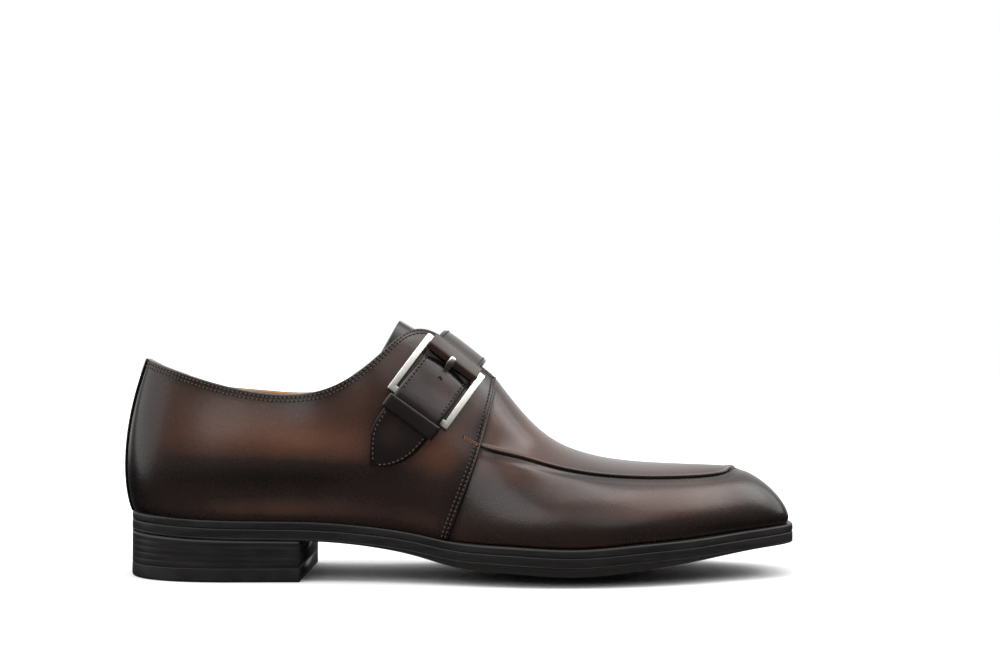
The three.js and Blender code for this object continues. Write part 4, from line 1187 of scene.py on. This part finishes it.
def make_strap():
    start, end = -STRAP_DOWN_INNER, TIP_START + TIP_LENGTH
    along = joined((start, start + 1, 4), (start + 1, TIP_START, 120), (TIP_START, end - 1.2, 41))
    along = np.concatenate([along, end - np.array([0.7, 0.35, 0.12, 0.0])])
    rear, front = strap_edges(along)
    shares = np.concatenate([[0, 0, 0.012, 0.035], np.linspace(0.07, 0.93, 17), [0.965, 0.988, 1, 1]])
    drop = np.concatenate([[1.1, 0.55, 0.2, 0.05], np.zeros(17), [0.05, 0.2, 0.55, 1.1]])
    end_drop = np.interp(along, [start, start + 0.6], [0.8, 0])
    across = rear[:, None] + shares[None] * (front - rear)[:, None]
    base = strap_height(along)[:, None]
    down = along[:, None]
    height = base + STRAP_THICK - drop[None] - end_drop[:, None] + strap_bulge(down, across)
    low = on_strap(down, across[:, [-1, 12, 0]], base + 0.1)
    points = np.concatenate([on_strap(down, across, height), low], axis=1)
    to_edge = np.minimum(shares[None], 1 - shares[None]) * (front - rear)[:, None]
    tone = 0.6 + 0.3 * bell(to_edge, 1.0) + 0.26 / (1 + np.exp(-(down - BUCKLE_END) / 1.5))
    # Painted highlight: a lighter patch on the strap's swell inside the buckle.
    tone = tone - 0.16 * bell(down - 38, 7) * bell(across - 4, 6)
    # Painted highlight in the middle of the strap's tip.
    tone = tone - 0.34 * bell(down - TIP_START - 7, 6) * bell(across + 3, 6)
    # Painted shadow along an arch where the strap comes out from under the sleeve.
    arch = down - BUCKLE_DOWN - 7.0 + 1.6 * (1 - (across / HALF_STRAP) ** 2)
    tone = tone + 0.7 * bell(np.maximum(arch, 0), 1.2) * (down > BUCKLE_DOWN)
    tone = np.concatenate([tone, tone[:, [-1, 12, 0]]], axis=1)
    return grid_piece("strap_leather", points, [strap_calf], caps=True, tone=tone)


def make_keeper():
    half = HALF_STRAP + GAP

    def ring(grow):
        wide = half + grow
        low = -GAP - grow
        high = STRAP_THICK + GAP + grow
        cut = 0.35 + grow * 0.5
        corners = []
        for sign, h, start in ((1, low, -90), (1, high, 0), (-1, high, 90), (-1, low, 180)):
            centre_h = h + (cut if h == low else -cut)
            for a in np.radians(np.linspace(start, start + 90, 5)):
                corners.append((sign * (wide - cut) + cut * math.cos(a), centre_h + cut * math.sin(a)))
            if start == -90:
                corners += [(wide, s) for s in np.linspace(low + cut, high - cut, 3)[1:-1]]
            if start == 0:
                corners += [(s, high) for s in np.linspace(wide - cut, -wide + cut, 18)[1:-1]]
        corners += [(s, low) for s in np.linspace(-wide + cut, wide - cut, 14)[1:-1]]
        return np.array(corners)

    stations = []
    rise = [(0.25, 0), (0.0, 0.25), (0.0, 0.85), (0.25, 1), (0.8, 1.0)]
    fall = [(KEEPER_LENGTH - along, grow) for along, grow in rise[::-1]]
    for along, grow in [*rise, (KEEPER_LENGTH / 2, 1.03), *fall]:
        at = KEEPER_START + along
        corners = ring(grow * KEEPER_THICK)
        stations.append(on_strap(at, corners[:, 0], strap_height(at) + corners[:, 1]))
    points = np.array(stations)
    tone = np.full(points.shape[:2], 0.86)
    # Painted highlight along the keeper's edge nearest the buckle.
    tone[:4] -= 0.2
    return grid_piece("keeper_loop", points, [strap_calf], wrap_columns=True, tone=tone)


def frame_height(along):
    share = np.clip((along - BUCKLE_DOWN) / BUCKLE_LENGTH, 0, 1)
    return mix(UPPER_BAR_HEIGHT, LOWER_BAR_HEIGHT, share)


def rounded_rectangle(half_long, half_wide, corner, steps=14):
    """Points round a rectangle about the origin, the same count at any size."""
    points = []
    corners = ((1, 1, 0), (-1, 1, 90), (-1, -1, 180), (1, -1, 270))
    for i, (sx, sy, start) in enumerate(corners):
        cx, cy = sx * (half_long - corner), sy * (half_wide - corner)
        turns = np.radians(np.linspace(start, start + 90, 5))
        arc = [(cx + corner * math.cos(a), cy + corner * math.sin(a)) for a in turns]
        points += arc
        nx, ny, _ = corners[(i + 1) % 4]
        nx, ny = nx * (half_long - corner), ny * (half_wide - corner)
        a = np.radians(start + 90)
        end = (nx + corner * math.cos(a), ny + corner * math.sin(a))
        between = np.linspace(0, 1, steps + 1)[1:-1]
        points += [tuple(mix(np.array(arc[-1]), np.array(end), s)) for s in between]
    return np.array(points)


def make_buckle_frame():
    outer = rounded_rectangle(BUCKLE_LENGTH / 2, BUCKLE_WIDTH / 2, 0.7)
    inner = rounded_rectangle(BUCKLE_LENGTH / 2 - BAR_WIDTH, BUCKLE_WIDTH / 2 - BAR_WIDTH, 0.35)
    middle = BUCKLE_DOWN + BUCKLE_LENGTH / 2
    rows = []
    profile = ((0, 0.15), (0, 0.86), (0.015, 0.95), (0.06, 0.99), (0.1, 1.0), (0.9, 1.0),
               (0.94, 0.99), (0.985, 0.95), (1, 0.86), (1, 0.15), (0.93, 0.03), (0.07, 0.03))
    for share, rise in profile:
        at = mix(outer, inner, share)
        along = middle + at[:, 0]
        rows.append(on_strap(along, at[:, 1], frame_height(along) + rise * BAR_THICK))
    points = np.stack(rows, axis=1)
    return grid_piece("buckle_metal_frame", points, [satin_nickel], wrap_columns=True)


def make_bar_wrap():
    half = BUCKLE_WIDTH / 2 - BAR_WIDTH - 0.1
    middle = BUCKLE_DOWN + BAR_WIDTH / 2
    turn = np.radians(np.arange(0, 360, 7.5))

    def ring(long, low, high, square):
        c, s = np.cos(turn), np.sin(turn)
        a = np.sign(c) * np.abs(c) ** square * long
        h = (low + high) / 2 + np.sign(s) * np.abs(s) ** (square * 0.8) * (high - low) / 2
        return a, h

    bottom, top = UPPER_BAR_HEIGHT, UPPER_BAR_HEIGHT + BAR_THICK
    big = ring(WRAP_LENGTH / 2, bottom - WRAP_THICK, top + WRAP_THICK, 0.34)
    small = ring(BAR_WIDTH / 2 + GAP, bottom - 0.2, top + 0.2, 0.4)
    rings = []
    stations = [(-half, 0.5), (-half, 0.12), (-half + 0.2, 0)]
    stations += [(c, 0) for c in np.linspace(-half + 0.9, half - 0.9, 14)]
    stations += [(half - 0.2, 0), (half, 0.12), (half, 0.5), (half, 1), (-half, 1)]
    for c, share in stations:
        a = mix(big[0], small[0], share)
        h = mix(big[1], small[1], share)
        rings.append(on_strap(middle + a, c, h))
    points = np.array(rings)
    tone = np.full(points.shape[:2], 0.5)
    uses = np.zeros(points.shape[:2])
    uses[:2] = 1
    uses[-4:-2] = 1
    return grid_piece("sleeve", points, [strap_calf, raw_edge], wrap_columns=True, tone=tone, uses=uses)


def make_prong():
    tip = BUCKLE_DOWN + BAR_WIDTH + PRONG_HIDDEN
    wrap_top = UPPER_BAR_HEIGHT + BAR_THICK + WRAP_THICK + GAP
    low = GAP + STRAP_THICK + GAP
    turn = np.radians(np.arange(0, 360, 15))
    rings = []
    profile = ((0, 0.02), (0.01, 0.45), (0.04, 0.75), (0.1, 0.94), (0.2, 1), (0.5, 1), (0.8, 0.98),
               (0.92, 0.86), (0.98, 0.6), (1.0, 0.3), (1.0, 0.02))
    for share, size in profile:
        along = tip + share * (PRONG_LENGTH - 1.5 * PRONG_HIDDEN)
        base = np.interp(share, [0, 0.4, 0.7, 1], [wrap_top, wrap_top, wrap_top - 0.6, low])
        c = np.sign(np.cos(turn)) * np.abs(np.cos(turn)) ** 0.7 * PRONG_WIDTH / 2 * size
        h = 0.8 + np.sin(turn) * 0.8 * size
        rings.append(on_strap(along, c, base + h))
    return grid_piece("prong_pin", np.array(rings), [satin_nickel], caps=True)


STRAP_PIECES = [
    (make_strap, "strap", "strap_leather"),
    (make_keeper, "strap_keeper", "strap_leather"),
    (make_bar_wrap, "bar_wrap", "strap_leather"),
    (make_buckle_frame, "buckle_frame", "buckle_metal"),
    (make_prong, "buckle_prong", "buckle_metal"),
]
for make, node, slot in STRAP_PIECES:
    piece = make()
    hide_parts(node)


# Stitches.


STITCH_BATCH = 20


def sew(thread, hole_shades, path, normals, pitch=1.95, radius=0.38, length=1.4):
    """Adds a row of stitches along a path of points, in millimetres, with a near-black bead of painted shade
    for the needle hole between each two.
    """
    lengths = chords(path)
    count = max(1, int(lengths[-1] / pitch))

    def frame_at(at):
        ends = [np.array([np.interp(at + d, lengths, path[:, i]) for i in range(3)]) for d in (-0.3, 0, 0.3)]
        way = Vector(ends[2] - ends[0]).normalized()
        normal = Vector([np.interp(at, lengths, normals[:, i]) for i in range(3)])
        side = normal.cross(way).normalized()
        return ends[1], way, side, way.cross(side).normalized()

    def beads(whole, places, long, wide, high, sunk):
        for first in range(0, len(places), STITCH_BATCH):
            batch = bmesh.new()
            for at in places[first : first + STITCH_BATCH]:
                spot, way, side, normal = frame_at(at)
                axes = Matrix((side * wide * MM, normal * high * MM, way * long * MM))
                matrix = axes.transposed().to_4x4()
                matrix.translation = Vector((spot - FOOTPRINT_MIDDLE) * MM) - normal * sunk * MM
                bmesh.ops.create_uvsphere(batch, u_segments=8, v_segments=6, radius=1, matrix=matrix)
            mesh = bpy.data.meshes.new("batch")
            batch.to_mesh(mesh)
            batch.free()
            whole.from_mesh(mesh)
            bpy.data.meshes.remove(mesh)

    step = lengths[-1] / count
    beads(thread, [(k + 0.5) * step for k in range(count)], length / 2, radius, radius, 0.06)
    # Flat near-black beads between the stitches: painted shade in the needle holes.
    beads(hole_shades, [(k + 1.0) * step for k in range(count)], 0.36, 0.46, 0.09, 0.0)


def quarter_path(side, q, t, lift=QUARTER_STEP + 0.02):
    p, out = quarter_skin(side, q, t)
    p = p + out * (lift + relief(p, np.broadcast_to(side, p.shape[:-1])))[..., None]
    return p, out


def front_place(side, t, inset):
    """The place along the sole of a line that is inset from the quarter's front edge."""
    a = quarter_skin(side, np.full(t.shape, THROAT), t)[0]
    b = quarter_skin(side, np.full(t.shape, THROAT - 2.0), t)[0]
    return THROAT - inset * 2.0 / np.linalg.norm(a - b, axis=-1)


def sewn(thread, name, finish, hole_shades, hole_shade_name):
    """The pieces of thread and of the needle holes' painted shade from their bmeshes."""
    return piece_from(thread, name, [finish]), piece_from(hole_shades, hole_shade_name, [hole_shade])


# How far the two rows of stitches lie in from a quarter's edge.
ROW_INSETS = (1.2, 2.9)


def make_stitches():
    thread, hole_shades = bmesh.new(), bmesh.new()
    for side in (OUTER, INNER):
        for inset in ROW_INSETS:
            q_end = float(front_place(side, np.array([0.99]), inset)[0])
            q = np.linspace(5.5, q_end, 140)
            t = top_share(q, side, inset + inner_dip(side, q))
            p, out = quarter_path(side, q, t)
            sew(thread, hole_shades, p, out)
            t = np.linspace(float(t[-1]), 0.015, 120)
            p, out = quarter_path(side, front_place(side, t, inset), t)
            sew(thread, hole_shades, p, out)
    return sewn(thread, "quarter_stitches", brown_thread, hole_shades, "quarter_hole_shades")


def make_bar_tacks():
    """Short close rows that hold each quarter where its front edge meets the apron's seam."""
    thread, hole_shades = bmesh.new(), bmesh.new()
    for side in (OUTER, INNER):
        for lower in (0.0, 0.7):
            share = np.linspace(0, 1, 12)
            t = float(seam_at(THROAT)) + 0.022 - 0.012 * lower
            q = front_place(side, np.full(share.shape, t), 1.6 + 7.4 * share)
            t = t - 0.004 * share
            p, out = quarter_path(side, q, t)
            sew(thread, hole_shades, p, out, pitch=1.1, radius=0.32, length=1.2)
    return sewn(thread, "bar_tacks", tack_thread, hole_shades, "bar_tack_hole_shades")


# How far the strap's row lies in from its edge, and how far its triangle reaches along the strap.
STRAP_ROW_INSET = 1.7
TRIANGLE_REACH = 13.0


def make_strap_stitches():
    thread, hole_shades = bmesh.new(), bmesh.new()
    inset = STRAP_ROW_INSET
    top = STRAP_THICK + 0.02

    def row(along, across):
        height = strap_height(along) + top + strap_bulge(along, across)
        p = on_strap(along, across, height)
        sew(thread, hole_shades, p, on_strap(along, across, height + 1) - p)

    spans = (
        (-STRAP_DOWN_INNER + inset, BUCKLE_DOWN - 2),
        (BUCKLE_DOWN + 6.5, BUCKLE_END - 3.5),
        (TIP_START + 0.5, TIP_START + TIP_LENGTH - 2.2),
    )
    for edge in (-1, 1):
        for start, end in spans:
            along = np.linspace(start, end, 60)
            rear, front = strap_edges(along)
            row(along, (rear + inset) if edge < 0 else (front - inset))
    across = np.linspace(-HALF_STRAP + inset, HALF_STRAP - inset, 40)
    row(np.full(across.shape, -STRAP_DOWN_INNER + inset), across)
    # The triangle that holds the strap to the inner quarter.
    base = -STRAP_DOWN_INNER + 2 * inset
    half = HALF_STRAP - 2 * inset
    corners = ((base, -half), (base + TRIANGLE_REACH, 0), (base, half))
    for a, b in zip(corners, corners[1:] + corners[:1]):
        share = np.linspace(0, 1, 30)
        row(mix(a[0], b[0], share), mix(a[1], b[1], share))
    return sewn(thread, "strap_stitches", brown_thread, hole_shades, "strap_needle_hole_shades")


for piece in (*make_stitches(), *make_bar_tacks()):
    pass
for piece in make_strap_stitches():
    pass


# The middle of the punched hole, in strap coordinates.
HOLE_DOWN = BUCKLE_DOWN + 12.6
HOLE_ACROSS = 0.2


def make_strap_hole():
    """A punched hole with a pressed rim; its middle is a near-black disc of painted shade inside the hole.
    """
    height = float(strap_height(HOLE_DOWN)) + STRAP_THICK
    turn = np.radians(np.arange(0, 360, 20))
    rings = []
    profile = ((0.03, -0.02), (0.55, -0.02), (0.85, 0.03), (1.05, 0.07), (1.25, 0.02), (1.35, -0.05))
    for size, rise in profile:
        a, c = HOLE_DOWN + np.cos(turn) * size, HOLE_ACROSS + np.sin(turn) * size
        rings.append(on_strap(a, c, height + strap_bulge(a, c) + rise + 0.03))
    points = np.array(rings)
    uses = np.zeros(points.shape[:2])
    # The middle rings are painted shade inside the hole.
    uses[:2] = 1
    tone = np.full(points.shape[:2], 0.8)
    return grid_piece("strap_hole", points, [strap_calf, hole_shade], caps=True, tone=tone, uses=uses)


strap_hole = make_strap_hole()


# Floor, light and camera.

FLOOR_SIZE = 30.0


def make_floor():
    pale = [(0.0, (0.9, 0.9, 0.9)), (1.0, (0.93, 0.93, 0.93))]
    finish = cloudy("pale_floor", (3, 2), pale, 0.8, 0.1, Specular_IOR_Level=0.1)
    bm = bmesh.new()
    bmesh.ops.create_grid(bm, x_segments=1, y_segments=1, size=FLOOR_SIZE / 2)
    mesh = bpy.data.meshes.new("floor")
    bm.to_mesh(mesh)
    bm.free()
    floor = bpy.data.objects.new("floor", mesh)
    floor.location.z = cad_box[0].z - 0.0002
    floor.visible_glossy = False
    mesh.materials.append(finish)
    bpy.context.scene.collection.objects.link(floor)


make_floor()


def add_sun(name, strength, angle, rotation):
    data = bpy.data.lights.new(name, "SUN")
    data.energy = strength
    data.angle = math.radians(angle)
    lamp = bpy.data.objects.new(name, data)
    lamp.rotation_euler = [math.radians(a) for a in rotation]
    bpy.context.scene.collection.objects.link(lamp)


# Softboxes: strength, angular size, turns. A long one overhead, a low one in front, one at the heel's side.
SOFTBOXES = {
    "overhead_heel": (0.95, 40, (9, -34, 0)),
    "overhead_middle": (0.95, 40, (9, 0, 0)),
    "overhead_toe": (0.95, 40, (9, 34, 0)),
    "front_heel": (0.56, 32, (46, -24, 0)),
    "front_toe": (0.26, 32, (44, 28, 0)),
    "heel_side": (0.8, 56, (-2, -64, 0)),
    "toe_side": (1.0, 44, (-6, 54, 0)),
}
for name, (strength, angle, rotation) in SOFTBOXES.items():
    add_sun(name, strength, angle, rotation)


def make_world():
    """White behind the shoe, dim on the camera's side, brighter overhead."""
    world = bpy.data.worlds.new("studio")
    world.use_nodes = True
    sky = Graph(world.node_tree)
    output = sky.tree.nodes.new("ShaderNodeOutputWorld")
    background = sky.tree.nodes.new("ShaderNodeBackground")
    sky.tree.links.new(background.outputs[0], output.inputs[0])
    split = sky.tree.nodes.new("ShaderNodeSeparateXYZ")
    sky.join(split.inputs[0], sky.node("ShaderNodeTexCoord", {}, {}, "Generated"))
    y, z = (Wire(sky, split.outputs[axis]) for axis in ("Y", "Z"))

    def ranged(value, kind, low, high, at_low, at_high):
        inputs = {"Value": value, "From Min": low, "From Max": high, "To Min": at_low, "To Max": at_high}
        return sky.node("ShaderNodeMapRange", {"interpolation_type": kind}, inputs)

    behind = ranged(y, "SMOOTHSTEP", 0.55, 0.88, 0.06, 1.25)
    aloft = ranged(z, "LINEAR", -0.06, -0.01, 0.05, 1.0)
    above = ranged(y * 0.6 + z, "SMOOTHSTEP", 0.5, 1.05, 0.0, 1.5)
    strength = sky.node("ShaderNodeMath", {"operation": "MAXIMUM"}, {0: behind * aloft, 1: above})
    sky.join(background.inputs["Strength"], strength)
    bpy.context.scene.world = world


make_world()
bpy.context.scene.view_settings.view_transform = "Standard"

CAMERA_AT = (0.01926, -0.6426, 0.0943)
CAMERA_PITCH = 1.34
camera_data = bpy.data.cameras.new("camera")
camera_data.lens = 50
camera_data.sensor_width = 36
camera_data.clip_start = 0.01
camera = bpy.data.objects.new("camera", camera_data)
camera.location = CAMERA_AT
camera.rotation_euler = (math.radians(90 + CAMERA_PITCH), 0, 0)
bpy.context.scene.collection.objects.link(camera)
bpy.context.scene.camera = camera
